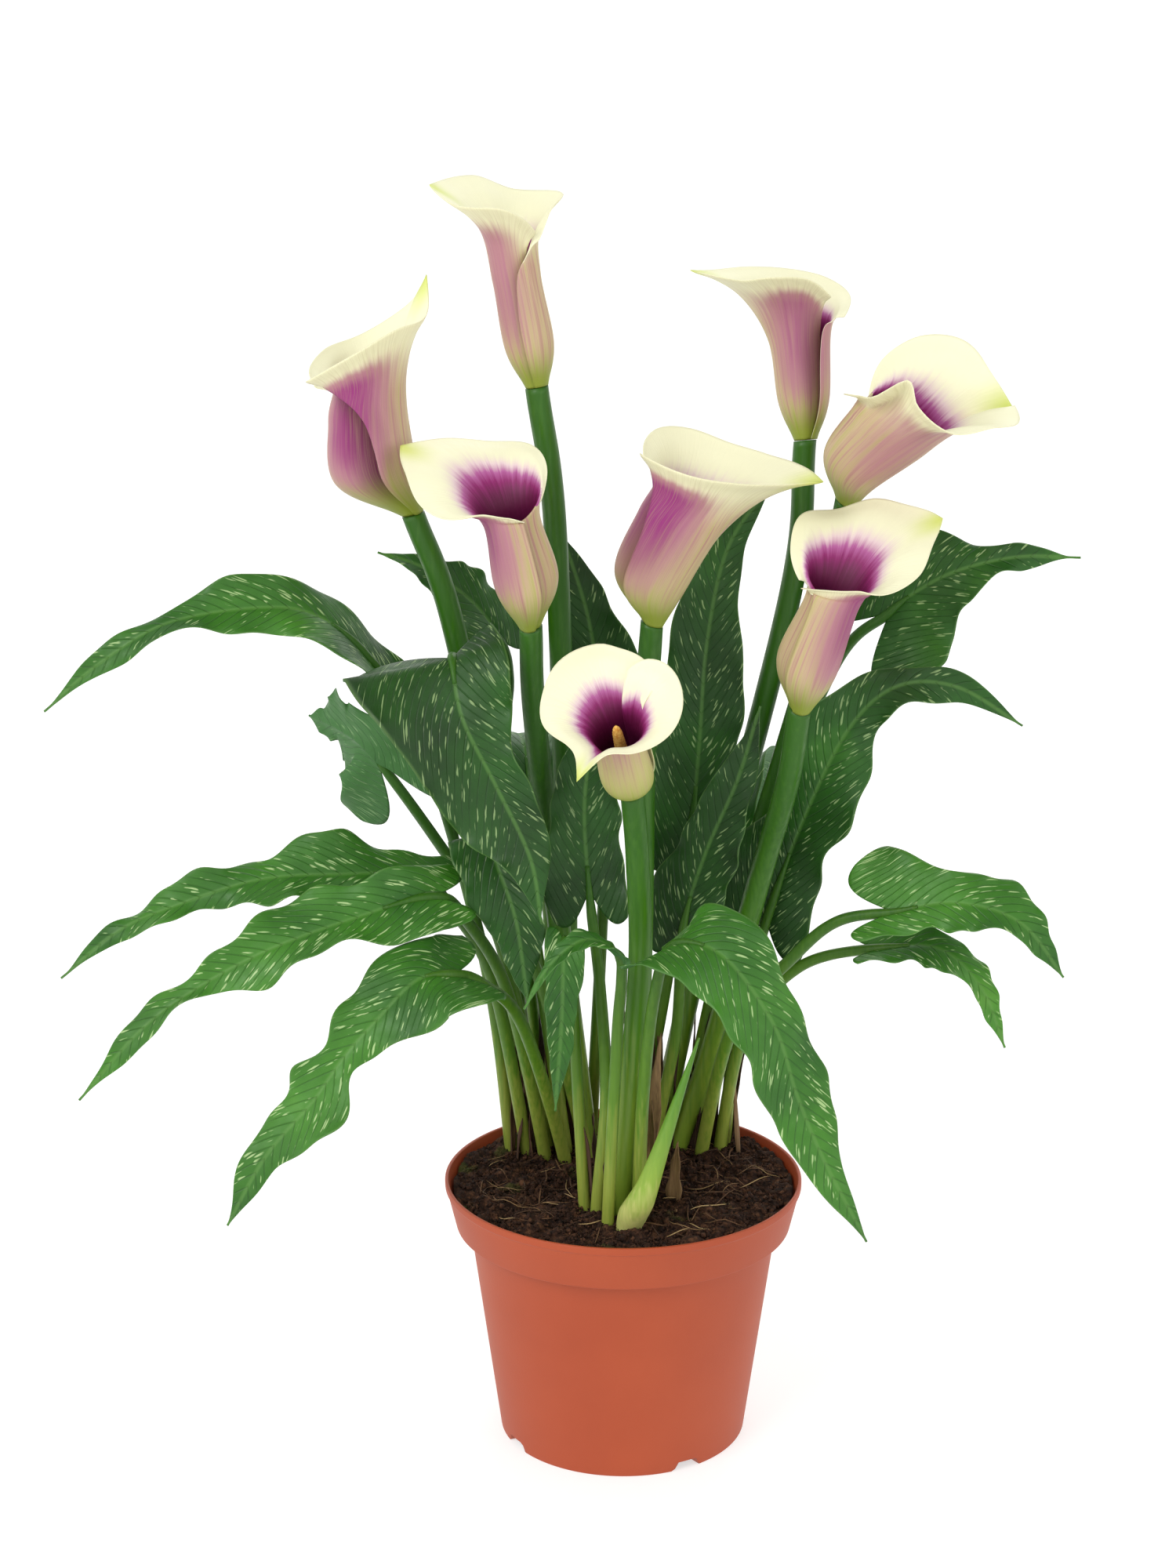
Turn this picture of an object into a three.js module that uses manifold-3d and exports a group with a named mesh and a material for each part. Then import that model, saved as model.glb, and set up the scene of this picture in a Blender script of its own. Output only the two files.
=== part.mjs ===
// A calla lily in a plastic grower's pot: eight rolled blooms and arrow-shaped leaves that rise from three
// tubers. Millimetres, +Z up. The origin is the middle of the pot's foot, and -Y is the side that faces
// the viewer.
import * as THREE from "three";
import { mergeVertices } from "three/addons/utils/BufferGeometryUtils.js";
import Module from "manifold-3d";

const wasm = await Module();
wasm.setup();

// Pot: a thin moulded cup with a hanging collar under its lip
const pot_height = 128;
const lip_radius = 85;
const lip_height = 4;
const lip_proud = 0.8;
const lip_round = 0.8;
const collar_height = 22.5;
const collar_foot_radius = 79.8;
const body_top_radius = 73.4;
const foot_radius = 59;
const foot_round = 2.5;
const pot_wall = 1.6;
const floor_thickness = 2.2;
const pot_sides = 36;
const drain_slots = 4;
const drain_slot_width = 12;
const drain_slot_height = 4.5;
const drain_slot_depth = 9;
const first_drain_angle = -59;

// Corners of a cut or joined solid that lie this close to a straight edge are dropped
const merge_distance = 0.05;

// Soil: fills the pot to just under its lip and is heaped behind the middle
const soil_gap = 0.35;
const soil_edge_height = 123.5;
const soil_heap = 4;
const soil_heap_place = [10, 30];
const soil_heap_spread = 48;
const soil_lump = 1.3;
const soil_top_spread = 3;
const soil_rings = 4;
const soil_ring_spacing = 0.8;
const soil_sides = 28;

// Stems stand in plain holes in the soil and end just above the tuber that they grow from
const stem_foot_height = 97;
const soil_line = 125;
const hole_gap = 0.35;
const hole_top = 140;
const hole_depth = 1;
const gather = 0.9;

const tubers = {
  tuber_left: [-28, 31],
  tuber_front: [0, -38],
  tuber_right: [29, 31],
};
const tuber_radius = 24;
const tuber_thickness = 26;
const tuber_crown = 0.55;
const tuber_lump = 1.2;
const tuber_gap = 0.5;

// Leaves: a petiole and an arrow-shaped blade, grown as one piece
const blade_thickness = 0.8;
const blade_rows = [0, 0.06, 0.14, 0.23, 0.33, 0.44, 0.56, 0.68, 0.8, 0.91, 1];
const blade_columns = [-1, -0.6, 0, 0.6, 1];
const tip_half_width = 0.8;
const petiole_sides = 5;
const petiole_steps = 6;
const petiole_neck_radius = 2.3;
const petiole_thinning = 0.7;
const midrib_end = 0.13;
const midrib_end_radius = 1;

// Form of a blade, in shares of its length: how far the lobes at its neck reach, how much narrower it is
// at the neck, how long its waist and its neck's flap are, where its wave dies out before the tip, and
// what is added to its taper's power there
const lobe_reach = 0.42;
const lobe_bend = 2.2;
const neck_narrow = 0.22;
const neck_span = 0.18;
const waist_span = 0.1;
const wave_end = 0.3;
const wave_power = 1.6;
const wave_shift = 2.5;
const tip_sharpness = 0.5;

// Blooms: a green stalk, one rolled spathe and the spadix that stands in it
const stalk_sides = 7;
const stalk_steps = 7;
const stalk_foot_radius = 5.5;
const stalk_neck_radius = 5.3;
const spathe_thickness = 0.9;
const spathe_around = 18;
const spathe_rows = [0, 0.08, 0.18, 0.3, 0.48, 0.66, 0.84, 1];
const spathe_foot_radius = 4.5;
const spathe_layers = [0.75, 1.2];
const spathe_roll = 1.5;
const spadix_radius = 3;
const spadix_height = 44;
const spadix_sides = 7;
const spadix_profile = [[0, 0.8], [0.1, 1], [0.6, 0.95], [0.9, 0.7], [1, 0.25]];

// Form of a spathe: where along its side or round it each change lies
const roll_from = 0.86;
const roll_power = 1.5;
const belly_shares = [0, 1, 0.6, 0.12, 0];
const overlap_place = [0.45, 0.78];
const overlap_end = 0.12;
const lap_from = 0.3;
const curl_place = 0.72;
const curl_rise = 1.15;
const curl_power = 0.8;

// A young leaf, still rolled to a point, stands at the front
const sprout_sides = 8;
const sprout_place = [3, -52];
const sprout_points = [[12, -60, 150], [34, -55, 218]];
const sprout_radii = [3.5, 4.5, 6, 7, 6.5, 4.5, 2.5, 0.5];
const joint_gap = 0.35;

const green = new THREE.MeshStandardMaterial({ color: 0x2f6a2a, roughness: 0.5 });
const pale_green = new THREE.MeshStandardMaterial({ color: 0x6f9a3c, roughness: 0.5 });
const cream = new THREE.MeshStandardMaterial({ color: 0xf3efd6, roughness: 0.55 });
const yellow = new THREE.MeshStandardMaterial({ color: 0xe0a83a, roughness: 0.8 });
const terracotta = new THREE.MeshStandardMaterial({ color: 0xc4603a, roughness: 0.6 });
const peat = new THREE.MeshStandardMaterial({ color: 0x3a261c, roughness: 1 });
const corm_brown = new THREE.MeshStandardMaterial({ color: 0x7a5a3c, roughness: 0.9 });

const radians = THREE.MathUtils.degToRad;
const mix = THREE.MathUtils.lerp;
const smooth = THREE.MathUtils.smoothstep;
const vector = (p) => new THREE.Vector3(p[0], p[1], p[2]);

// A closed mesh's geometry as a solid
function solid(geometry) {
  const bare = geometry.clone();
  bare.deleteAttribute("normal");
  bare.deleteAttribute("uv");
  const merged = mergeVertices(bare, 1e-4);
  return new wasm.Manifold(
    new wasm.Mesh({
      numProp: 3,
      vertProperties: new Float32Array(merged.attributes.position.array),
      triVerts: new Uint32Array(merged.index.array),
    }),
  );
}

// A solid as a named mesh
function part(name, body, material) {
  const { vertProperties, triVerts } = body.getMesh();
  const geometry = new THREE.BufferGeometry();
  geometry.setAttribute("position", new THREE.BufferAttribute(vertProperties, 3));
  geometry.setIndex(new THREE.BufferAttribute(triVerts, 1));
  geometry.computeVertexNormals();
  const mesh = new THREE.Mesh(geometry, material);
  mesh.name = name;
  return mesh;
}

function indexed(points, triangles) {
  const geometry = new THREE.BufferGeometry();
  const numbers = points.flatMap((p) => [p.x, p.y, p.z]);
  geometry.setAttribute("position", new THREE.Float32BufferAttribute(numbers, 3));
  geometry.setIndex(triangles);
  return geometry;
}

// A sheet as a thin solid: the same grid on both faces, half the thickness to each side, with the same
// diagonals
function sheet(surface, rows, columns, thickness) {
  const step = 0.004;
  const across = columns.length;
  const front = [];
  const back = [];
  for (const u of rows)
    for (const v of columns) {
      const here = surface(u, v);
      const along = surface(Math.min(u + step, 1), v).sub(surface(Math.max(u - step, 0), v));
      const over = surface(u, Math.min(v + step, 1)).sub(surface(u, Math.max(v - step, -1)));
      const normal = over.cross(along).setLength(thickness / 2);
      front.push(here.clone().add(normal));
      back.push(here.clone().sub(normal));
    }
  const triangles = [];
  const half = front.length;
  const at = (i, j) => i * across + j;
  for (let i = 0; i + 1 < rows.length; i++)
    for (let j = 0; j + 1 < across; j++) {
      const [a, b, c, d] = [at(i, j), at(i, j + 1), at(i + 1, j + 1), at(i + 1, j)];
      triangles.push(a, b, c, a, c, d);
      triangles.push(half + a, half + c, half + b, half + a, half + d, half + c);
    }
  const border = [];
  for (let j = 0; j < across; j++) border.push(at(0, j));
  for (let i = 1; i < rows.length; i++) border.push(at(i, across - 1));
  for (let j = across - 2; j >= 0; j--) border.push(at(rows.length - 1, j));
  for (let i = rows.length - 2; i > 0; i--) border.push(at(i, 0));
  border.forEach((a, k) => {
    const b = border[(k + 1) % border.length];
    triangles.push(a, half + a, half + b, a, half + b, b);
  });
  return solid(indexed([...front, ...back], triangles));
}

// A round rod through a list of rings, each a centre, a direction and a radius
function rod(rings, sides) {
  const points = [];
  const triangles = [];
  for (const { centre, direction, radius } of rings) {
    const side = new THREE.Vector3(1, 0, 0).addScaledVector(direction, -direction.x).normalize();
    const other = direction.clone().cross(side);
    for (let k = 0; k < sides; k++) {
      const angle = (2 * Math.PI * k) / sides;
      points.push(
        centre
          .clone()
          .addScaledVector(side, radius * Math.cos(angle))
          .addScaledVector(other, radius * Math.sin(angle)),
      );
    }
  }
  for (let i = 0; i + 1 < rings.length; i++)
    for (let k = 0; k < sides; k++) {
      const next = (k + 1) % sides;
      const [a, b] = [i * sides + k, i * sides + next];
      const [c, d] = [b + sides, a + sides];
      triangles.push(a, b, c, a, c, d);
    }
  const last = (rings.length - 1) * sides;
  for (let k = 1; k + 1 < sides; k++) {
    triangles.push(0, k + 1, k);
    triangles.push(last, last + k, last + k + 1);
  }
  return solid(indexed(points, triangles));
}

// The smooth line of a stem, from its foot on the tuber through the soil to its last point
function stemLine(tuber, place, points) {
  const heart = tubers[tuber];
  const foot = [mix(heart[0], place[0], gather), mix(heart[1], place[1], gather), stem_foot_height];
  const through = [foot, [...place, soil_line], ...points].map(vector);
  return new THREE.CatmullRomCurve3(through, false, "catmullrom", 0.5);
}

// Rings along a stem line from its start to a share of its length of points
function stemRings(line, last, steps, radiusAt) {
  return Array.from({ length: steps + 1 }, (_, k) => {
    const t = (last * k) / steps;
    return { centre: line.getPoint(t), direction: line.getTangent(t), radius: radiusAt(k / steps) };
  });
}

// The hole that a stem stands in: the stem's own rings, a little wider, up through the top of the soil
function hole(rings, sides) {
  const wide = rings
    .slice(0, rings.findIndex((ring) => ring.centre.z > hole_top) + 1)
    .map((ring) => ({ ...ring, radius: ring.radius + hole_gap / Math.cos(Math.PI / sides) }));
  const floor = stem_foot_height - tuber_gap - hole_depth;
  const foot = { ...wide[0], centre: wide[0].centre.clone().setZ(floor) };
  return rod([foot, ...wide], sides);
}

// What most leaves share: the petiole's radius at its foot, how the blade's edge swings in and out, as
// [depth, count, shift between its two sides], and the flap that widens each side at the neck
const usual_leaf = {
  petiole: 3.8,
  lobes: [0.1, 2, 0.35],
  flap: [0, 0],
};

// Each leaf: the tuber it grows from, its place in the soil, its petiole's route, its midrib from the neck
// to the tip, the way its upper side looks, and the half widths of its two sides. Its form is given by the
// length of the lobes at its neck, the fold up from the midrib in degrees at neck and tip, the wave across
// it as [height, count, phase], the waist as [place, depth], and the power of its taper to the tip.
const leaves = {
  leaf_left_long: {
    tuber: "tuber_left",
    place: [-55, 40],
    route: [[-66, 34, 220], [-94, 20, 335]],
    midrib: [
      [-120, 12, 380], [-141, 2, 400], [-165, -6, 405], [-205, -16, 400], [-235, -22, 383],
      [-261, -24, 361],
    ],
    faces: [-0.2, -0.8, 0.6],
    half: [19, 19],
    lobe: 30,
    fold: [10, 10],
    wave: [3, 2.2, 0],
    waist: [0.58, 0.45],
    taper: 0.6,
    flap: [0.35, 0],
  },
  leaf_left_big: {
    tuber: "tuber_left",
    place: [-28, 34],
    route: [[-55, 26, 315], [-74, 2, 368]],
    midrib: [[-77, -24, 386], [-72, -41, 363], [-57, -46, 333], [-42, -50, 301], [-37, -52, 271]],
    faces: [-0.1, -1, 0.45],
    half: [26, 42],
    lobe: 14,
    fold: [8, 8],
    wave: [5, 1.7, 0.4],
    waist: [0.42, 0.15],
    taper: 0.6,
    lobes: [0.1, 1.6, 0.4],
    flap: [0, 0.4],
  },
  leaf_left_inner: {
    tuber: "tuber_left",
    place: [-17, 24],
    route: [[-36, 0, 215], [-52, -6, 262]],
    midrib: [[-62, -14, 300], [-58, -24, 290], [-49, -32, 265], [-44, -36, 228]],
    faces: [-0.1, -1, 0.4],
    half: [20, 22],
    lobe: 14,
    fold: [8, 8],
    wave: [3, 1.5, 0.4],
    waist: [0.5, 0.1],
    taper: 0.5,
  },
  leaf_left_under: {
    tuber: "tuber_left",
    place: [-37, 38],
    route: [[-60, 22, 241], [-86, 12, 288]],
    midrib: [[-113, -6, 334], [-128, 0, 346], [-146, 14, 350]],
    faces: [-0.5, 1, 0.6],
    half: [32, 30],
    lobe: 30,
    fold: [-6, 6],
    wave: [3, 1.5, 0],
    waist: [0.5, 0.1],
    taper: 0.6,
    lobes: [0.25, 2.2, 0.2],
  },
  leaf_left_low_back: {
    tuber: "tuber_left",
    place: [-47, 34],
    route: [[-62, 10, 222], [-80, -4, 262]],
    midrib: [
      [-95, -14, 281], [-127, -24, 285], [-166, -30, 284], [-205, -37, 273], [-229, -42, 263],
      [-255, -46, 242],
    ],
    faces: [-0.1, -0.8, 0.7],
    half: [17, 19],
    lobe: 18,
    fold: [8, 8],
    wave: [4, 3.2, 0],
    waist: [0.55, 0.25],
    taper: 0.55,
    lobes: [0.25, 3, 0.5],
  },
  leaf_left_low_mid: {
    tuber: "tuber_left",
    place: [-38, 28],
    route: [[-54, 0, 218], [-72, -22, 262]],
    midrib: [
      [-86, -38, 279], [-122, -50, 272], [-160, -60, 260], [-191, -66, 244], [-215, -73, 227],
      [-243, -79, 196],
    ],
    faces: [-0.2, -0.9, 0.7],
    half: [18, 20],
    lobe: 18,
    fold: [8, 10],
    wave: [4, 2.6, 0.5],
    waist: [0.62, 0.45],
    taper: 0.5,
    lobes: [0.22, 2.6, 0.4],
  },
  leaf_left_low_front: {
    tuber: "tuber_left",
    place: [-28, 22],
    route: [[-47, -18, 210], [-64, -46, 240]],
    midrib: [
      [-76, -62, 250], [-92, -70, 250], [-110, -80, 234], [-124, -86, 219], [-137, -92, 201],
      [-158, -98, 177], [-175, -104, 147],
    ],
    faces: [-0.3, -1, 0.5],
    half: [25, 25],
    lobe: 20,
    fold: [8, 8],
    wave: [3.5, 2, 0],
    waist: [0.42, 0.6],
    taper: 0.45,
    lobes: [0.2, 2.2, 0.3],
  },
  leaf_left_back_small: {
    tuber: "tuber_left",
    place: [-38, 57],
    route: [[-56, 56, 307], [-55, 50, 360]],
    midrib: [[-59, 42, 380], [-71, 36, 399], [-93, 31, 416], [-114, 28, 424]],
    faces: [0.2, -0.8, 0.7],
    half: [20, 20],
    lobe: 14,
    fold: [5, 5],
    wave: [2, 1.5, 0],
    waist: [0.6, 0.2],
    taper: 0.7,
  },
  leaf_centre_back_left: {
    tuber: "tuber_left",
    place: [-16, 56],
    route: [[-10, 58, 249]],
    midrib: [[-8, 56, 316], [-12, 55, 353], [-18, 55, 390], [-30, 56, 428]],
    faces: [0.1, -1, 0.2],
    half: [26, 26],
    lobe: 18,
    fold: [8, 8],
    wave: [3, 1.5, 0],
    waist: [0.6, 0.1],
    taper: 0.5,
  },
  leaf_centre_front: {
    tuber: "tuber_front",
    place: [-12, -37],
    route: [[-8, -36, 181], [-11, -24, 232]],
    midrib: [[-16, -16, 275], [-18, -12, 320], [-10, -10, 368]],
    faces: [0, -1, 0.2],
    half: [22, 20],
    lobe: 16,
    fold: [8, 8],
    wave: [3, 1.5, 0],
    waist: [0.6, 0.1],
    taper: 0.5,
  },
  leaf_front_right_big: {
    tuber: "tuber_front",
    place: [7, -41],
    route: [[9, -46, 187], [14, -58, 240]],
    midrib: [
      [22, -70, 267], [43, -84, 267], [65, -96, 240], [76, -102, 208], [89, -107, 178],
      [107, -111, 144],
    ],
    faces: [0.3, -1, 0.5],
    half: [21, 26],
    lobe: 17,
    fold: [6, 6],
    wave: [2.5, 2, 0],
    waist: [0.42, 0.12],
    taper: 0.45,
    lobes: [0.1, 2.2, 0.3],
  },
  leaf_front_small_left: {
    tuber: "tuber_front",
    place: [-7, -50],
    route: [[-3, -50, 215], [-1, -54, 245]],
    midrib: [[-2, -59, 258], [-10, -66, 267], [-20, -72, 269], [-33, -77, 259], [-44, -79, 240]],
    faces: [0, -0.6, 1],
    half: [7, 7],
    lobe: 5,
    fold: [10, 10],
    wave: [1, 2, 0],
    waist: [0.5, 0.1],
    taper: 0.6,
    petiole: 3.2,
  },
  leaf_front_low_narrow: {
    tuber: "tuber_front",
    place: [-18, -30],
    route: [[-22, -30, 200], [-24, -33, 243]],
    midrib: [[-27, -42, 259], [-28, -50, 226], [-31, -52, 181]],
    faces: [0, -1, 0.3],
    half: [10, 10],
    lobe: 6,
    fold: [6, 6],
    wave: [1.5, 1.5, 0],
    waist: [0.5, 0.1],
    taper: 0.55,
    petiole: 3.2,
  },
  leaf_right_low_upper: {
    tuber: "tuber_right",
    place: [38, 32],
    route: [[52, 10, 200], [78, -8, 240], [98, -17, 261]],
    midrib: [[123, -24, 268], [151, -29, 274], [179, -36, 267], [199, -42, 243]],
    faces: [0.1, -0.9, 0.7],
    half: [22, 16],
    lobe: 20,
    fold: [6, 6],
    wave: [2, 1.5, 0],
    waist: [0.5, 0],
    taper: 0.5,
    lobes: [0.16, 2.2, 0.4],
    flap: [0.5, 0],
  },
  leaf_right_low_lower: {
    tuber: "tuber_right",
    place: [47, 36],
    route: [[58, 28, 190], [84, 16, 228]],
    midrib: [[122, 2, 242], [147, -6, 244], [165, -16, 229], [176, -26, 203]],
    faces: [0.2, -0.8, 0.8],
    half: [13, 13],
    lobe: 14,
    fold: [6, 6],
    wave: [2, 1.5, 0],
    waist: [0.5, 0.1],
    taper: 0.5,
    lobes: [0.18, 2.2, 0.4],
  },
  leaf_right_upper: {
    tuber: "tuber_right",
    place: [42, 54],
    route: [[60, 58, 251], [98, 54, 362]],
    midrib: [[124, 48, 392], [140, 46, 405], [158, 44, 414], [184, 42, 420], [211, 40, 420]],
    faces: [0, -1, 0.5],
    half: [37, 37],
    lobe: 26,
    fold: [8, 4],
    wave: [4, 1.6, 0],
    waist: [0.6, 0.25],
    taper: 1.25,
    lobes: [0.2, 1.3, 0.1],
  },
  leaf_right_back_big: {
    tuber: "tuber_right",
    place: [50, 45],
    route: [[54, 42, 179]],
    midrib: [
      [68, 32, 245], [84, 20, 299], [103, 10, 345], [124, 4, 367], [151, 0, 368], [181, -5, 351],
    ],
    faces: [0.3, -0.9, 0.5],
    half: [26, 24],
    lobe: 14,
    fold: [8, 8],
    wave: [4, 2.6, 0],
    waist: [0.7, 0.2],
    taper: 0.5,
    lobes: [0.2, 2.4, 0.3],
  },
  leaf_centre_back_tall: {
    tuber: "tuber_right",
    place: [6, 52],
    route: [[18, 48, 190]],
    midrib: [[31, 38, 283], [35, 32, 332], [38, 28, 382], [47, 26, 427], [67, 24, 458]],
    faces: [0.1, -1, 0.2],
    half: [24, 22],
    lobe: 16,
    fold: [8, 8],
    wave: [2.5, 1.8, 0],
    waist: [0.6, 0],
    taper: 0.4,
  },
  leaf_centre_dark: {
    tuber: "tuber_right",
    place: [14, 33],
    route: [[25, 26, 189]],
    midrib: [[28, 16, 246], [38, 8, 286], [52, 4, 322], [62, 2, 358]],
    faces: [-0.3, -1, 0.4],
    half: [20, 20],
    lobe: 16,
    fold: [6, 6],
    wave: [2.5, 1.8, 0],
    waist: [0.6, 0.1],
    taper: 0.5,
  },
  leaf_back_left: {
    tuber: "tuber_left",
    place: [-28, 62],
    route: [[-38, 76, 240]],
    midrib: [[-46, 92, 296], [-52, 116, 314], [-56, 146, 300], [-58, 172, 256]],
    faces: [0, 0.8, 0.7],
    half: [26, 26],
    lobe: 22,
    fold: [8, 8],
    wave: [4, 1.8, 0],
    waist: [0.6, 0.2],
    taper: 0.55,
  },
  leaf_back_right: {
    tuber: "tuber_right",
    place: [24, 61],
    route: [[36, 78, 230]],
    midrib: [[44, 92, 282], [56, 118, 298], [66, 148, 284], [72, 176, 240]],
    faces: [0, 0.8, 0.7],
    half: [26, 26],
    lobe: 22,
    fold: [8, 8],
    wave: [4, 1.8, 0.3],
    waist: [0.6, 0.2],
    taper: 0.55,
  },
};

// The point of a leaf's blade at u (0 at the neck, 1 at the tip) and v (-1 to 1 across it).
// The midrib point moves sideways by the half width, back by the lobe, and up by the fold and the wave.
function bladeSurface(leaf, line, neck) {
  const samples = 48;
  const [wave_height, wave_count, wave_phase] = leaf.wave;
  const [lobe_depth, lobe_count, lobe_shift] = leaf.lobes;
  const [waist_place, waist_depth] = leaf.waist;
  const mids = Array.from({ length: samples + 1 }, (_, k) => line.getPoint(mix(neck, 1, k / samples)));
  const lengths = [0];
  for (let k = 1; k <= samples; k++) lengths.push(lengths[k - 1] + mids[k].distanceTo(mids[k - 1]));
  const length = lengths[samples];
  const start = line.getTangent(neck);
  const chord = mids[samples].clone().sub(mids[0]);
  const side = chord.clone().cross(vector(leaf.faces)).normalize();
  return (u, v) => {
    const far = Math.abs(v);
    const hand = v < 0 ? 0 : 1;
    const waist = 1 - waist_depth * Math.exp(-(((u - waist_place) / waist_span) ** 2));
    const swell = 1 - neck_narrow * (1 - Math.sin((Math.min(1, u / neck_span) * Math.PI) / 2));
    const edge = 1 + lobe_depth * Math.sin(2 * Math.PI * (lobe_count * u + hand * lobe_shift));
    const flap = 1 + leaf.flap[hand] * Math.exp(-((u / neck_span) ** 4));
    const taper = leaf.taper + tip_sharpness * u ** 4;
    const outline = swell * (1 - u) ** taper * waist * flap * edge;
    const width = Math.max(tip_half_width, leaf.half[hand] * outline);
    const back = leaf.lobe * Math.sin(lobe_bend * far) * Math.max(0, 1 - u / lobe_reach) ** 2;
    const s = u * length - back;
    let middle;
    let along;
    if (s <= 0) {
      middle = mids[0].clone().addScaledVector(start, s);
      along = start.clone();
    } else {
      let k = 1;
      while (k < samples && lengths[k] < s) k++;
      const share = Math.min(1, (s - lengths[k - 1]) / (lengths[k] - lengths[k - 1]));
      middle = mids[k - 1].clone().lerp(mids[k], share);
      along = line.getTangent(mix(neck, 1, (k - 1 + share) / samples));
    }
    const across = side.clone().addScaledVector(along, -side.dot(along)).normalize();
    const up = across.clone().cross(along);
    const fold = Math.tan(radians(mix(leaf.fold[0], leaf.fold[1], u)));
    const phase = 2 * Math.PI * (wave_count * u + wave_phase) + hand * wave_shift;
    const ripple = wave_height * far ** wave_power * Math.sin(phase);
    const lift = far * width * fold + ripple * smooth(1 - u, 0, wave_end);
    return middle.addScaledVector(across, v * width).addScaledVector(up, lift);
  };
}

// A leaf's petiole thins to the neck and runs on under the blade as its midrib
function makeLeaf(leaf) {
  const line = stemLine(leaf.tuber, leaf.place, [...leaf.route, ...leaf.midrib]);
  const points = line.points.length;
  const neck = (points - leaf.midrib.length) / (points - 1);
  const end = mix(neck, 1, midrib_end);
  const radiusAt = (t) => mix(leaf.petiole, petiole_neck_radius, t ** petiole_thinning);
  const rings = stemRings(line, end, petiole_steps, radiusAt);
  rings[petiole_steps].radius = midrib_end_radius;
  const blade = sheet(bladeSurface(leaf, line, neck), blade_rows, blade_columns, blade_thickness);
  return { body: whole(rod(rings, petiole_sides).add(blade)), hole: hole(rings, petiole_sides) };
}

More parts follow.
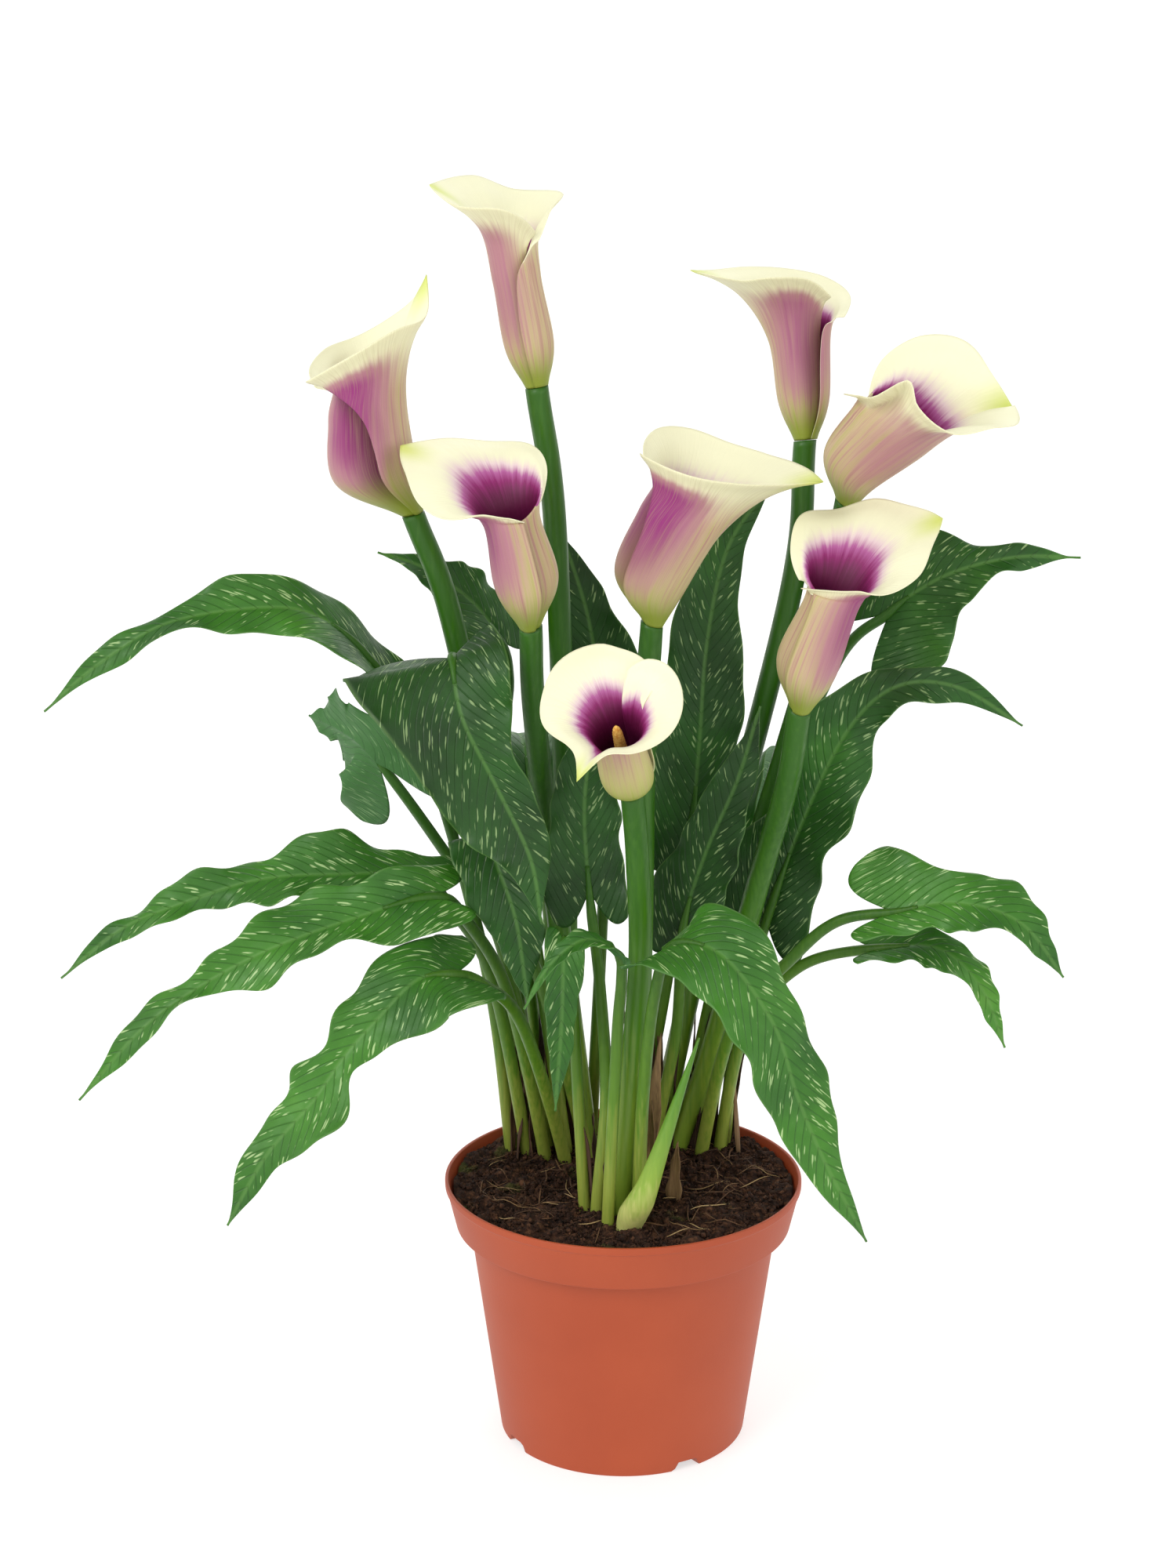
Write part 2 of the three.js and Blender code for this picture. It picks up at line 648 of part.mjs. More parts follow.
// Each bloom: where its stalk stands and runs, the top of the stalk, the way the rolled tube leans, and
// the side that its pointed tip is on. Its tube is [radius low down, radius at the throat, height of the
// throat], with its belly's place up it and how far that hangs out away from the tip. Its margins lap each
// other by an angle at the stalk, and that seam winds from its place there by the twist to its place in
// the rim. The rim is a list of [angle round from the tip, distance from the axis, height], with the point
// of the tip added as [out, up] and spread over an angle. The limb arches between throat and rim.
const blooms = {
  left: {
    tuber: "tuber_left",
    place: [-45, 47],
    route: [[-64, 32, 300], [-80, 18, 396]],
    top: [-96, 10, 445],
    leans: [-25, -2, 90],
    tip: [1, 0.2, 0],
    tube: [18.5, 18, 50],
    lower_at: 0.45,
    belly: 11,
    lap: 28,
    twist: 100,
    curl: 3,
    hand: -1,
    point: [5, 17],
    spread: 18,
    arch: 0.12,
    rim: [
      [-158, 29.5, 72.5], [-104, 26.5, 79.5], [-63, 29.5, 84], [-35, 31, 82], [-8, 30, 82.5],
      [21, 29.5, 86.5], [85, 26, 80.5], [132, 23, 80], [174, 26, 74.5], [196, 27, 68.5],
    ],
  },
  top: {
    tuber: "tuber_left",
    place: [-29, 49],
    route: [[-28, 46, 270], [-32, 24, 434]],
    top: [-40, 15, 502],
    leans: [-17, 0, 90],
    tip: [-1, 0.1, 0],
    tube: [10.3, 10, 48],
    lower_at: 0.38,
    belly: 0,
    lap: 28,
    twist: -25,
    curl: 1.5,
    hand: -1,
    point: [3, 2],
    spread: 23,
    arch: 0.15,
    rim: [
      [-216, 16.5, 65], [-189, 20, 76.5], [-158, 26, 81], [-96, 27.5, 85.5], [-59, 25.5, 95],
      [-1, 25.5, 94], [46, 23, 86], [95, 24, 82], [120, 22, 75.5], [141, 18.5, 68],
    ],
  },
  left_middle: {
    tuber: "tuber_left",
    place: [-18, 41],
    route: [[-32, 32, 250], [-41, -6, 355]],
    top: [-42, -22, 400],
    leans: [-12, -21, 70],
    tip: [-0.7, 0.5, 0],
    tube: [14, 12.5, 54],
    lower_at: 0.42,
    belly: 3,
    lap: 23,
    twist: -67,
    curl: 0,
    hand: 1,
    point: [4, 2],
    spread: 11,
    arch: 0.15,
    rim: [
      [-126, 15.5, 58], [-105, 25, 67], [-76, 36.5, 72], [-47, 44.5, 72.5], [-22, 51.5, 77.5],
      [1, 48.5, 81.5], [26, 40, 80.5], [53, 35.5, 72.5], [70, 29.5, 68], [92, 17, 66], [130, 13, 62],
      [155, 13, 58],
    ],
  },
  right_top: {
    tuber: "tuber_right",
    place: [18, 52],
    route: [[38, 53, 229], [77, 42, 402]],
    top: [82, 35, 475],
    leans: [-7, 14, 74],
    tip: [-1, 0.1, 0],
    tube: [10.3, 12.5, 46],
    lower_at: 0.38,
    belly: 0,
    lap: 23,
    twist: 0,
    curl: 5,
    hand: -1,
    point: [8, 2],
    spread: 11,
    arch: 0.12,
    rim: [
      [-200, 22, 54], [-163, 24, 65], [-117, 22.5, 76], [-49, 27.5, 82.5], [7, 37, 79.5], [51, 32, 73],
      [77, 32.5, 72.5], [106, 29, 70.5], [135, 25, 62.5],
    ],
  },
  centre: {
    tuber: "tuber_front",
    place: [5, -23],
    route: [[8, -10, 252], [9, -2, 343]],
    top: [12, -15, 400],
    leans: [28, -6, 81],
    tip: [1, -0.1, 0],
    tube: [16, 18.5, 46],
    lower_at: 0.36,
    belly: 8,
    lap: 28,
    twist: 65,
    curl: 3,
    hand: -1,
    point: [18, 2],
    spread: 17,
    arch: 0.12,
    rim: [
      [-150, 32.5, 75], [-108, 28, 75.5], [-69, 23.5, 77], [-17, 25.5, 81], [10, 32, 87.5],
      [48, 30.5, 85], [81, 28.5, 83], [118, 29.5, 83.5], [152, 30.5, 81.5], [177, 30.5, 76.5],
      [196, 29.5, 72],
    ],
  },
  right_upper: {
    tuber: "tuber_right",
    place: [32, 50],
    route: [[51, 46, 230], [92, 34, 390]],
    top: [100, 22, 449],
    leans: [32, -20, 48],
    tip: [0.95, 0.1, 0],
    tube: [13.5, 18, 40],
    lower_at: 0.4,
    belly: 8,
    lap: 23,
    twist: 0,
    curl: 0,
    hand: -1,
    point: [15, -9],
    spread: 11,
    arch: 0.12,
    rim: [
      [-190, 30, 46], [-168, 29, 54], [-152, 31, 61], [-138, 31.5, 78], [-120, 34, 73],
      [-92, 39.5, 73.5], [-68, 38, 82], [-42, 37.5, 85], [-17, 29, 85.5], [20, 20.5, 85.5],
      [70, 25.5, 85], [97, 33, 74.5], [116, 32.5, 59], [138, 21, 44],
    ],
  },
  right_front: {
    tuber: "tuber_right",
    place: [26, 38],
    route: [[42, 34, 176], [63, 12, 271], [74, -14, 326]],
    top: [78, -28, 364],
    leans: [19, -21, 70],
    tip: [0.7, 0.5, 0],
    tube: [13.5, 12, 58],
    lower_at: 0.4,
    belly: 5,
    lap: 23,
    twist: 70,
    curl: 0,
    hand: -1,
    point: [4, 2],
    spread: 11,
    arch: 0.15,
    rim: [
      [-201, 16, 61.5], [-152, 14, 68], [-106, 14, 71], [-81, 22, 74], [-54, 28.5, 82],
      [-23, 32.5, 90.5], [6, 43.5, 93.5], [28, 48.5, 89.5], [43, 50.5, 86], [60, 48, 77.5],
      [84, 42, 76.5], [106, 31.5, 70.5], [138, 19, 62],
    ],
  },
  front: {
    tuber: "tuber_front",
    place: [-2, -35],
    route: [[7, -40, 240], [6, -46, 298]],
    top: [3.4, -56, 333.2],
    leans: [-8, -27, 40],
    tip: [-0.51, -0.66, -0.55],
    tube: [11.4, 11, 36],
    lower_at: 0.28,
    belly: 0,
    lap: 28,
    twist: 0,
    curl: 0,
    hand: -1,
    point: [16, -6],
    spread: 13,
    arch: 0.15,
    rim: [
      [-209, 20, 54], [-182, 25.5, 58], [-155, 32, 57], [-139, 39, 55], [-115, 41, 53], [-90, 36, 50],
      [-65, 31, 48], [-34, 21, 48], [13, 15.5, 50], [56, 20, 48], [100, 27, 50], [131, 31, 54],
      [159, 32, 58], [176, 28, 60], [191, 21, 58],
    ],
  },
};

// A value of a spathe's rim at an angle: the cubic between two stations, whose slope at each is that of
// the line between its neighbours
function rimValue(rim, kind, angle) {
  const last = rim.length - 1;
  const slope = (k) => {
    const [before, after] = [rim[Math.max(k - 1, 0)], rim[Math.min(k + 1, last)]];
    return (after[kind] - before[kind]) / (after[0] - before[0]);
  };
  let k = 0;
  while (k + 1 < last && rim[k + 1][0] < angle) k++;
  const [start, end] = [rim[k], rim[k + 1]];
  const step = end[0] - start[0];
  const t = (angle - start[0]) / step;
  const share = 3 * t ** 2 - 2 * t ** 3;
  const bend = slope(k) * (t ** 3 - 2 * t ** 2 + t) + slope(k + 1) * (t ** 3 - t ** 2);
  return mix(start[kind], end[kind], share) + bend * step;
}

// The point of a rolled spathe at u (0 at the stalk, 1 at the rim) and v (-1 to 1 from margin to margin,
// 0 at the tip). Up the side it follows a smooth curve from the foot through the belly, the throat and the
// arched limb to the rim, whose edge rolls back. Round the axis the angle runs from one end of the rim to
// the other, and from the stalk up the seam winds round to that place.
function spatheSurface(bloom) {
  const up = vector(bloom.leans).normalize();
  const toward = vector(bloom.tip);
  toward.addScaledVector(up, -toward.dot(up)).normalize();
  const side = up.clone().cross(toward);
  const [lower, throat, throat_height] = bloom.tube;
  const first = bloom.rim[0][0];
  const last = bloom.rim[bloom.rim.length - 1][0];
  return (u, v) => {
    const place = v < 0 ? -v * first : v * last;
    const point = Math.exp(-Math.abs(place) / bloom.spread);
    const rim_radius = rimValue(bloom.rim, 1, place) + bloom.point[0] * point;
    const rim_height = rimValue(bloom.rim, 2, place) + bloom.point[1] * point;
    const [out, rise] = [rim_radius - throat, rim_height - throat_height];
    const knots = [
      [spathe_foot_radius, 0],
      [lower, bloom.lower_at * throat_height],
      [throat, throat_height],
      [throat + out / 2 - bloom.arch * rise, throat_height + rise / 2 + bloom.arch * out],
      [rim_radius, rim_height],
    ].map(([radius, height], k) => new THREE.Vector3(radius, height, bloom.belly * belly_shares[k]));
    const here = new THREE.CatmullRomCurve3(knots, false, "catmullrom", 0.5).getPoint(u);
    const roll = (spathe_roll * smooth(u, roll_from, 1) ** roll_power) / Math.hypot(out, rise);
    const layer = mix(...spathe_layers, smooth(u, 0, overlap_end)) * smooth(Math.abs(v), ...overlap_place);
    const opening = Math.sin(Math.PI * Math.min(1, u * curl_rise)) ** curl_power;
    const curl = smooth(bloom.hand * v, curl_place, 1) * opening;
    const radius = here.x + roll * rise + bloom.hand * Math.sign(v) * layer + bloom.curl * curl;
    const height = here.y - roll * out;
    const wound = smooth(u, lap_from, 1);
    const half = mix(180 + bloom.lap, (last - first) / 2, wound);
    const middle = (first + last) / 2 + bloom.twist * (1 - wound);
    const angle = radians(v < 0 ? -v * (middle - half) : v * (middle + half));
    return vector(bloom.top)
      .addScaledVector(up, height + joint_gap + spathe_thickness / 2)
      .addScaledVector(toward, radius * Math.cos(angle) - here.z)
      .addScaledVector(side, radius * Math.sin(angle));
  };
}

// The rolled young leaf swells above the soil and ends in a point
function makeSprout() {
  const line = stemLine("tuber_front", sprout_place, sprout_points);
  const steps = sprout_radii.length - 1;
  const rings = stemRings(line, 1, steps, (t) => sprout_radii[Math.round(t * steps)]);
  return { body: rod(rings, sprout_sides), hole: hole(rings, sprout_sides) };
}

// A bloom's stalk, the hole it stands in, its spathe and its spadix
function makeBloom(bloom) {
  const up = vector(bloom.leans).normalize();
  const top = vector(bloom.top);
  const line = stemLine(bloom.tuber, bloom.place, [...bloom.route, bloom.top]);
  const rings = stemRings(line, 1, stalk_steps, (t) => mix(stalk_foot_radius, stalk_neck_radius, t));
  rings[stalk_steps].direction = up;
  const columns = Array.from({ length: spathe_around + 1 }, (_, k) => (2 * k) / spathe_around - 1);
  const spathe = sheet(spatheSurface(bloom), spathe_rows, columns, spathe_thickness);
  const spadix_rings = spadix_profile.map(([share, width]) => ({
    centre: top.clone().addScaledVector(up, joint_gap + share * spadix_height),
    direction: up,
    radius: spadix_radius * width,
  }));
  return {
    stalk: rod(rings, stalk_sides),
    hole: hole(rings, stalk_sides),
    spathe,
    spadix: rod(spadix_rings, spadix_sides),
  };
}

// A solid of revolution from a profile of [radius, height] points
function lathed(profile, sides) {
  const points = profile.map(([radius, height]) => new THREE.Vector2(radius, height));
  return solid(new THREE.LatheGeometry(points, sides).rotateX(Math.PI / 2));
}

// A boolean's largest piece, without the slivers and the loose scraps that it may leave
function whole(body) {
  return body.simplify(merge_distance).decompose().sort((a, b) => b.volume() - a.volume())[0];
}

// The radius of the pot's tapered body
function bodyRadius(height) {
  return mix(foot_radius, body_top_radius, height / (pot_height - collar_height));
}

// The pot is a thin cup with a shoulder under its collar, and slots cut at the edge of its foot
function makePot() {
  const shoulder = pot_height - collar_height;
  const outside = [
    [0, 0],
    [foot_radius - foot_round, 0],
    [foot_radius - foot_round * 0.3, foot_round * 0.3],
    [bodyRadius(foot_round), foot_round],
    [body_top_radius, shoulder],
    [collar_foot_radius, shoulder],
    [lip_radius - lip_proud, pot_height - lip_height],
    [lip_radius, pot_height - lip_height],
    [lip_radius, pot_height - lip_round],
    [lip_radius - lip_round, pot_height],
  ];
  const inside = [
    [lip_radius - pot_wall, pot_height],
    [collar_foot_radius - pot_wall, shoulder + pot_wall],
    [body_top_radius - pot_wall, shoulder + pot_wall],
    [bodyRadius(floor_thickness) - pot_wall, floor_thickness],
    [0, floor_thickness],
  ];
  let pot = lathed([...outside, ...inside], pot_sides);
  for (let k = 0; k < drain_slots; k++) {
    const slot = new THREE.BoxGeometry(drain_slot_width, 2 * drain_slot_depth, 2 * drain_slot_height);
    slot.translate(0, -foot_radius, 0);
    slot.rotateZ(radians(first_drain_angle + (360 * k) / drain_slots));
    pot = pot.subtract(solid(slot));
  }
  return pot;
}

// The height of the soil's top, with low lumps
function soilHeight(x, y) {
  const away = Math.hypot(x - soil_heap_place[0], y - soil_heap_place[1]) / soil_heap_spread;
  const lumps = Math.sin(x * 0.21 + 1) * Math.sin(y * 0.17) + 0.5 * Math.sin(x * 0.37 - y * 0.31);
  return soil_edge_height + soil_heap * Math.exp(-(away ** 2)) + soil_lump * lumps;
}

// The soil fills the pot, rings of points on its top and one ring at each corner of its side, with the
// holes cut
function makeSoil(holes) {
  const shoulder = pot_height - collar_height + pot_wall + soil_gap;
  const floor = floor_thickness + soil_gap;
  const shrink = pot_wall + soil_gap;
  const top_radius = collar_foot_radius + soil_top_spread - shrink;
  const share = (i) => ((i + 1) / soil_rings) ** soil_ring_spacing;
  const levels = [
    ...Array.from({ length: soil_rings }, (_, i) => [share(i) * top_radius, null]),
    [collar_foot_radius - shrink, shoulder],
    [body_top_radius - shrink, shoulder],
    [bodyRadius(floor_thickness) - shrink, floor],
  ];
  const points = [new THREE.Vector3(0, 0, soilHeight(0, 0))];
  const triangles = [];
  for (const [radius, height] of levels)
    for (let k = 0; k < soil_sides; k++) {
      const angle = (2 * Math.PI * k) / soil_sides;
      const [x, y] = [radius * Math.cos(angle), radius * Math.sin(angle)];
      points.push(new THREE.Vector3(x, y, height ?? soilHeight(x, y)));
    }
  const bottom = points.length;
  points.push(new THREE.Vector3(0, 0, floor));
  for (let k = 0; k < soil_sides; k++) {
    const next = (k + 1) % soil_sides;
    triangles.push(0, 1 + k, 1 + next);
    for (let i = 0; i + 1 < levels.length; i++) {
      const [a, b] = [1 + i * soil_sides + k, 1 + i * soil_sides + next];
      const [c, d] = [b + soil_sides, a + soil_sides];
      triangles.push(a, d, c, a, c, b);
    }
    const last = 1 + (levels.length - 1) * soil_sides;
    triangles.push(last + k, bottom, last + next);
  }
  let soil = solid(indexed(points, triangles));
  for (const cut of holes) soil = soil.subtract(cut);
  return whole(soil);
}

// A tuber is a flattened round corm with a lumpy outline and a flat crown
function makeTuber([x, y], grow) {
  const crown = stem_foot_height - tuber_gap;
  const geometry = new THREE.SphereGeometry(1, 10, 7).rotateX(Math.PI / 2);
  const place = geometry.attributes.position;
  for (let k = 0; k < place.count; k++) {
    const p = new THREE.Vector3().fromBufferAttribute(place, k);
    const lump = 1 + (tuber_lump / tuber_radius) * Math.sin(3 * Math.atan2(p.y, p.x) + x) * (1 - p.z ** 2);
    const rise = Math.min(tuber_crown, p.z);
    place.setXYZ(
      k,
      x + p.x * lump * (tuber_radius + grow),
      y + p.y * lump * (tuber_radius + grow),
      crown + grow - (tuber_crown - rise) * (tuber_thickness / (1 + tuber_crown) + grow),
    );
  }
  return solid(geometry);
}

const group = new THREE.Group();
const holes = [];

for (const [name, leaf] of Object.entries(leaves)) {
  const made = makeLeaf({ ...usual_leaf, ...leaf });
  holes.push(made.hole);
  group.add(part(name, made.body, green));
}

for (const [name, bloom] of Object.entries(blooms)) {
  const made = makeBloom(bloom);
  holes.push(made.hole);
  group.add(part("stalk_" + name, made.stalk, pale_green));
  group.add(part("spathe_" + name, made.spathe, cream));
  group.add(part("spadix_" + name, made.spadix, yellow));
}

const sprout = makeSprout();
holes.push(sprout.hole);
group.add(part("sprout", sprout.body, pale_green));

for (const [name, place] of Object.entries(tubers)) {
  holes.push(makeTuber(place, hole_gap));
  group.add(part(name, makeTuber(place, 0), corm_brown));
}

group.add(part("pot", makePot(), terracotta));
group.add(part("soil", makeSoil(holes), peat));

export default group;
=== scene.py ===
import math
import bmesh
import bpy
import numpy as np
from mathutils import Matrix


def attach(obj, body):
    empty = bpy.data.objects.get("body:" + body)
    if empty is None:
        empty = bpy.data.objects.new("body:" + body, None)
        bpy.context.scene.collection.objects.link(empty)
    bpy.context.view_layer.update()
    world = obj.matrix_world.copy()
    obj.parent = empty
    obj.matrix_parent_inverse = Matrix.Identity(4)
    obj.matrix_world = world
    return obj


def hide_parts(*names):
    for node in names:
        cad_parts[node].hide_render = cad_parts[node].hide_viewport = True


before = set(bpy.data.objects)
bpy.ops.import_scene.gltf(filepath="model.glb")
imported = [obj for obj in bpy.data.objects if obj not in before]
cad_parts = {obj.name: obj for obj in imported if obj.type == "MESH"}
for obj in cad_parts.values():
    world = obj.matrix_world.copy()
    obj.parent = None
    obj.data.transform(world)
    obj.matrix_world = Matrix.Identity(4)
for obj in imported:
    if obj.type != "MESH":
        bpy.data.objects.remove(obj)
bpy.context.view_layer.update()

# Camera and light: the pot stands on a plain pale floor that runs up into a backdrop, and the view
# looks down on it a little from the front, as a catalogue picture does. The places of camera and lights
# are in metres, and all sizes of the plant and its floor in millimetres.
CAMERA_PLACE = (0.0, -1.3, 0.682)
CAMERA_DOWN = 15.5
CAMERA_TURN = 0.74
FRAME_HEIGHT = 2000
FOCAL_PIXELS = 3740
FILM = 36
LAMPS_AIM = (0.0, 0.0, 0.3)

view = bpy.data.cameras.new("view")
view.sensor_fit = "VERTICAL"
view.sensor_height = FILM
view.lens = FILM * FOCAL_PIXELS / FRAME_HEIGHT
view.clip_end = 20
camera = bpy.data.objects.new("view", view)
camera.location = CAMERA_PLACE
camera.rotation_euler = (math.radians(90 - CAMERA_DOWN), 0, math.radians(CAMERA_TURN))
bpy.context.scene.collection.objects.link(camera)
bpy.context.scene.camera = camera
bpy.context.scene.view_settings.view_transform = "Standard"


def area_light(name, place, size, power):
    """A square soft box at place that looks at the middle of the plant."""
    lamp = bpy.data.lights.new(name, "AREA")
    lamp.size = size
    lamp.energy = power
    made = bpy.data.objects.new(name, lamp)
    made.location = place
    toward = np.array(LAMPS_AIM) - np.array(place)
    made.rotation_euler = (
        math.acos(-toward[2] / np.linalg.norm(toward)),
        0,
        math.atan2(toward[0], -toward[1]) + math.pi,
    )
    bpy.context.scene.collection.objects.link(made)


area_light("key", (-1.5, -1.9, 2.1), 1.4, 32)
area_light("fill", (2.0, -1.6, 1.0), 1.6, 6)
area_light("back", (0.3, 1.9, 1.9), 1.4, 10)
studio = bpy.data.worlds.new("studio")
studio.use_nodes = True
studio.node_tree.nodes["Background"].inputs["Color"].default_value = (1, 1, 1, 1)
studio.node_tree.nodes["Background"].inputs["Strength"].default_value = 0.2
bpy.context.scene.world = studio


def srgb(red, green, blue):
    """A colour from 0 to 255, as on a screen, in the linear light that a shader takes."""
    screen = np.array([red, green, blue]) / 255
    light = np.where(screen < 0.04045, screen / 12.92, ((screen + 0.055) / 1.055) ** 2.4)
    return (*light.tolist(), 1.0)


def node(tree, kind, inputs=None, **settings):
    """A shader node of that kind. Each input is a value, or another node's output to link."""
    made = tree.nodes.new("ShaderNode" + kind)
    for name, value in settings.items():
        setattr(made, name, value)
    for socket, value in (inputs or {}).items():
        if isinstance(value, bpy.types.NodeSocket):
            tree.links.new(value, made.inputs[socket])
        else:
            made.inputs[socket].default_value = value
    return made


def finish_material(name, **constants):
    """A material with its Principled shader; the constants are set on the shader's own sockets."""
    made = bpy.data.materials.new(name)
    made.use_nodes = True
    shader = made.node_tree.nodes["Principled BSDF"]
    for socket, value in constants.items():
        shader.inputs[socket.replace("_", " ")].default_value = value
    return made, made.node_tree, shader


POLE_SIZE = 1e-7


def grid_faces(rows, columns, closed=False):
    """The quads of a rows by columns grid of points; closed joins the last column to the first."""
    i, j = np.meshgrid(np.arange(rows - 1), np.arange(columns - (not closed)), indexing="ij")
    here, there = i * columns + j, i * columns + (j + 1) % columns
    return np.stack([here, there, there + columns, here + columns], -1).reshape(-1, 4)


def make_mesh(name, blocks, material):
    """One smooth object, in metres, from blocks of (points in mm, faces, values at the points).

    A block's values are one number for all its points, or one for each. Points that fall together, as the
    last ring does at a pole, become one.
    """
    places, quads, values, count = [], [], {}, 0
    for points, faces, block in blocks:
        places.append(points.reshape(-1, 3))
        quads.append(faces + count)
        count += places[-1].shape[0]
        for key, value in block.items():
            values.setdefault(key, []).append(value)
    points = np.concatenate(places) / 1000
    mesh = bpy.data.meshes.new(name)
    mesh.from_pydata(points.tolist(), [], np.concatenate(quads).tolist())
    for key, found in values.items():
        flat = np.concatenate([np.broadcast_to(v, p.shape[0]) if np.ndim(v) == 0 else v.reshape(-1)
                               for v, p in zip(found, places)])
        mesh.attributes.new(key, "FLOAT", "POINT").data.foreach_set("value", flat.astype(np.float32))
    shell = bmesh.new()
    shell.from_mesh(mesh)
    bmesh.ops.remove_doubles(shell, verts=shell.verts, dist=POLE_SIZE)
    shell.to_mesh(mesh)
    shell.free()
    mesh.shade_smooth()
    mesh.materials.append(material)
    made = bpy.data.objects.new(name, mesh)
    bpy.context.scene.collection.objects.link(made)
    return made


FLOOR_RADIUS = 2600
BEND = 1200
BEND_STEPS = 16
WALL_TOP = 6000
FLOOR_SIDES = 64

bend = np.radians(np.linspace(0, 90, BEND_STEPS))
floor_away = np.concatenate([[0], FLOOR_RADIUS + BEND * np.sin(bend), [FLOOR_RADIUS + BEND]])[:, None]
floor_level = np.concatenate([[0], BEND * (1 - np.cos(bend)), [WALL_TOP]])[:, None]
floor_turn = np.linspace(0, 2 * np.pi, FLOOR_SIDES, endpoint=False)[None]
floor_points = np.stack([floor_away * np.cos(floor_turn), floor_away * np.sin(floor_turn),
                         floor_level + 0 * floor_turn], -1)
paper, _, _ = finish_material("pale_floor", Base_Color=srgb(188, 188, 186), Roughness=0.9,
                              Emission_Color=srgb(255, 255, 255), Emission_Strength=0.6)
floor_faces = grid_faces(len(floor_away), FLOOR_SIDES, closed=True)[:, ::-1]
floor = make_mesh("floor", [(floor_points, floor_faces, {})], paper)

# Pot: a thin moulded plastic grower's pot, with a rolled lip, a straight collar that hangs from it over the
# tapered body, and drain notches at the edge of its foot. The plastic is matt, with a fine moulded grain.
POT_HEIGHT = 128
LIP_RADIUS = 85
LIP_HEIGHT = 4
LIP_PROUD = 0.8
LIP_SLOPE = 0.6
COLLAR_HEIGHT = 22.5
COLLAR_FOOT_RADIUS = 79.8
BODY_TOP_RADIUS = 73.4
FOOT_RADIUS = 59
POT_WALL = 1.6
FLOOR_THICKNESS = 2.2
POT_SIDES = 216
NOTCH_ANGLES = (-59, 31, 121, 211)
NOTCH_WIDTH = 12
NOTCH_HEIGHT = 4.5
NOTCH_DEPTH = 9
NOTCH_ROUND = 0.6
CORNER_RADIUS = 0.7
POT_SHOULDER = POT_HEIGHT - COLLAR_HEIGHT
FOOT_MIDDLE = FOOT_RADIUS - NOTCH_DEPTH - 2
OUTER_SHARE = 0.7


def smooth(x, low, high):
    """0 below low, 1 above high, and 3t^2 - 2t^3 between."""
    t = np.clip((x - low) / (high - low), 0, 1)
    return t * t * (3 - 2 * t)


def unit(vectors):
    """Vectors divided by their length."""
    return vectors / np.linalg.norm(vectors, axis=-1, keepdims=True)


def rounded(corners, radius, steps=5):
    """A profile with rounded corners: each is a quadratic curve from radius before it to radius after it."""
    corners = np.array(corners, float)
    before, here, after = corners[:-2], corners[1:-1], corners[2:]
    reach = np.minimum(radius, 0.45 * np.linalg.norm(here - before, axis=1))[:, None]
    past = np.minimum(radius, 0.45 * np.linalg.norm(after - here, axis=1))[:, None]
    start, end = here + unit(before - here) * reach, here + unit(after - here) * past
    t = np.linspace(0, 1, steps)[None, :, None]
    bends = (1 - t) ** 2 * start[:, None] + 2 * t * (1 - t) * here[:, None] + t**2 * end[:, None]
    return np.vstack([corners[:1], bends.reshape(-1, 2), corners[-1:]])


def body_radius(height):
    """The radius of the pot's tapered body."""
    return FOOT_RADIUS + (BODY_TOP_RADIUS - FOOT_RADIUS) * height / POT_SHOULDER


pot_profile = rounded([
    (0, 0),
    (FOOT_MIDDLE, 0),
    (FOOT_RADIUS - NOTCH_DEPTH, 0),
    (FOOT_RADIUS - NOTCH_DEPTH / 2, 0),
    (FOOT_RADIUS, 0),
    (body_radius(NOTCH_HEIGHT), NOTCH_HEIGHT),
    (body_radius(NOTCH_HEIGHT + 1), NOTCH_HEIGHT + 1),
    (body_radius(40), 40),
    (body_radius(80), 80),
    (BODY_TOP_RADIUS, POT_SHOULDER),
    (COLLAR_FOOT_RADIUS, POT_SHOULDER),
    (LIP_RADIUS - LIP_PROUD, POT_HEIGHT - LIP_HEIGHT),
    (LIP_RADIUS, POT_HEIGHT - LIP_HEIGHT + LIP_SLOPE),
    (LIP_RADIUS, POT_HEIGHT),
    (LIP_RADIUS - POT_WALL, POT_HEIGHT),
    (COLLAR_FOOT_RADIUS - POT_WALL, POT_SHOULDER + POT_WALL),
    (BODY_TOP_RADIUS - POT_WALL, POT_SHOULDER + POT_WALL),
    (body_radius(FLOOR_THICKNESS) - POT_WALL, FLOOR_THICKNESS),
    (FOOT_MIDDLE, FLOOR_THICKNESS),
    (0, FLOOR_THICKNESS),
], CORNER_RADIUS)
turn = np.linspace(0, 2 * np.pi, POT_SIDES, endpoint=False)
pot_radius, pot_z = pot_profile[:, :1], np.repeat(pot_profile[:, 1:], POT_SIDES, 1)
notch = np.zeros(POT_SIDES)
for notch_angle in NOTCH_ANGLES:
    off = np.abs((turn - math.radians(notch_angle) + np.pi) % (2 * np.pi) - np.pi) * FOOT_RADIUS
    notch = np.maximum(notch, 1 - smooth(off, NOTCH_WIDTH / 2 - NOTCH_ROUND, NOTCH_WIDTH / 2 + NOTCH_ROUND))
inside = np.arange(len(pot_profile))[:, None] > int(OUTER_SHARE * len(pot_profile))
rise = NOTCH_HEIGHT + np.where(inside, POT_WALL, 0)
reached = smooth(pot_radius, FOOT_RADIUS - NOTCH_DEPTH - 1, FOOT_RADIUS - NOTCH_DEPTH)
pot_z = np.maximum(pot_z, rise * notch[None] * reached * (pot_z < rise))
pot_points = np.stack([pot_radius * np.cos(turn), pot_radius * np.sin(turn), pot_z], -1)


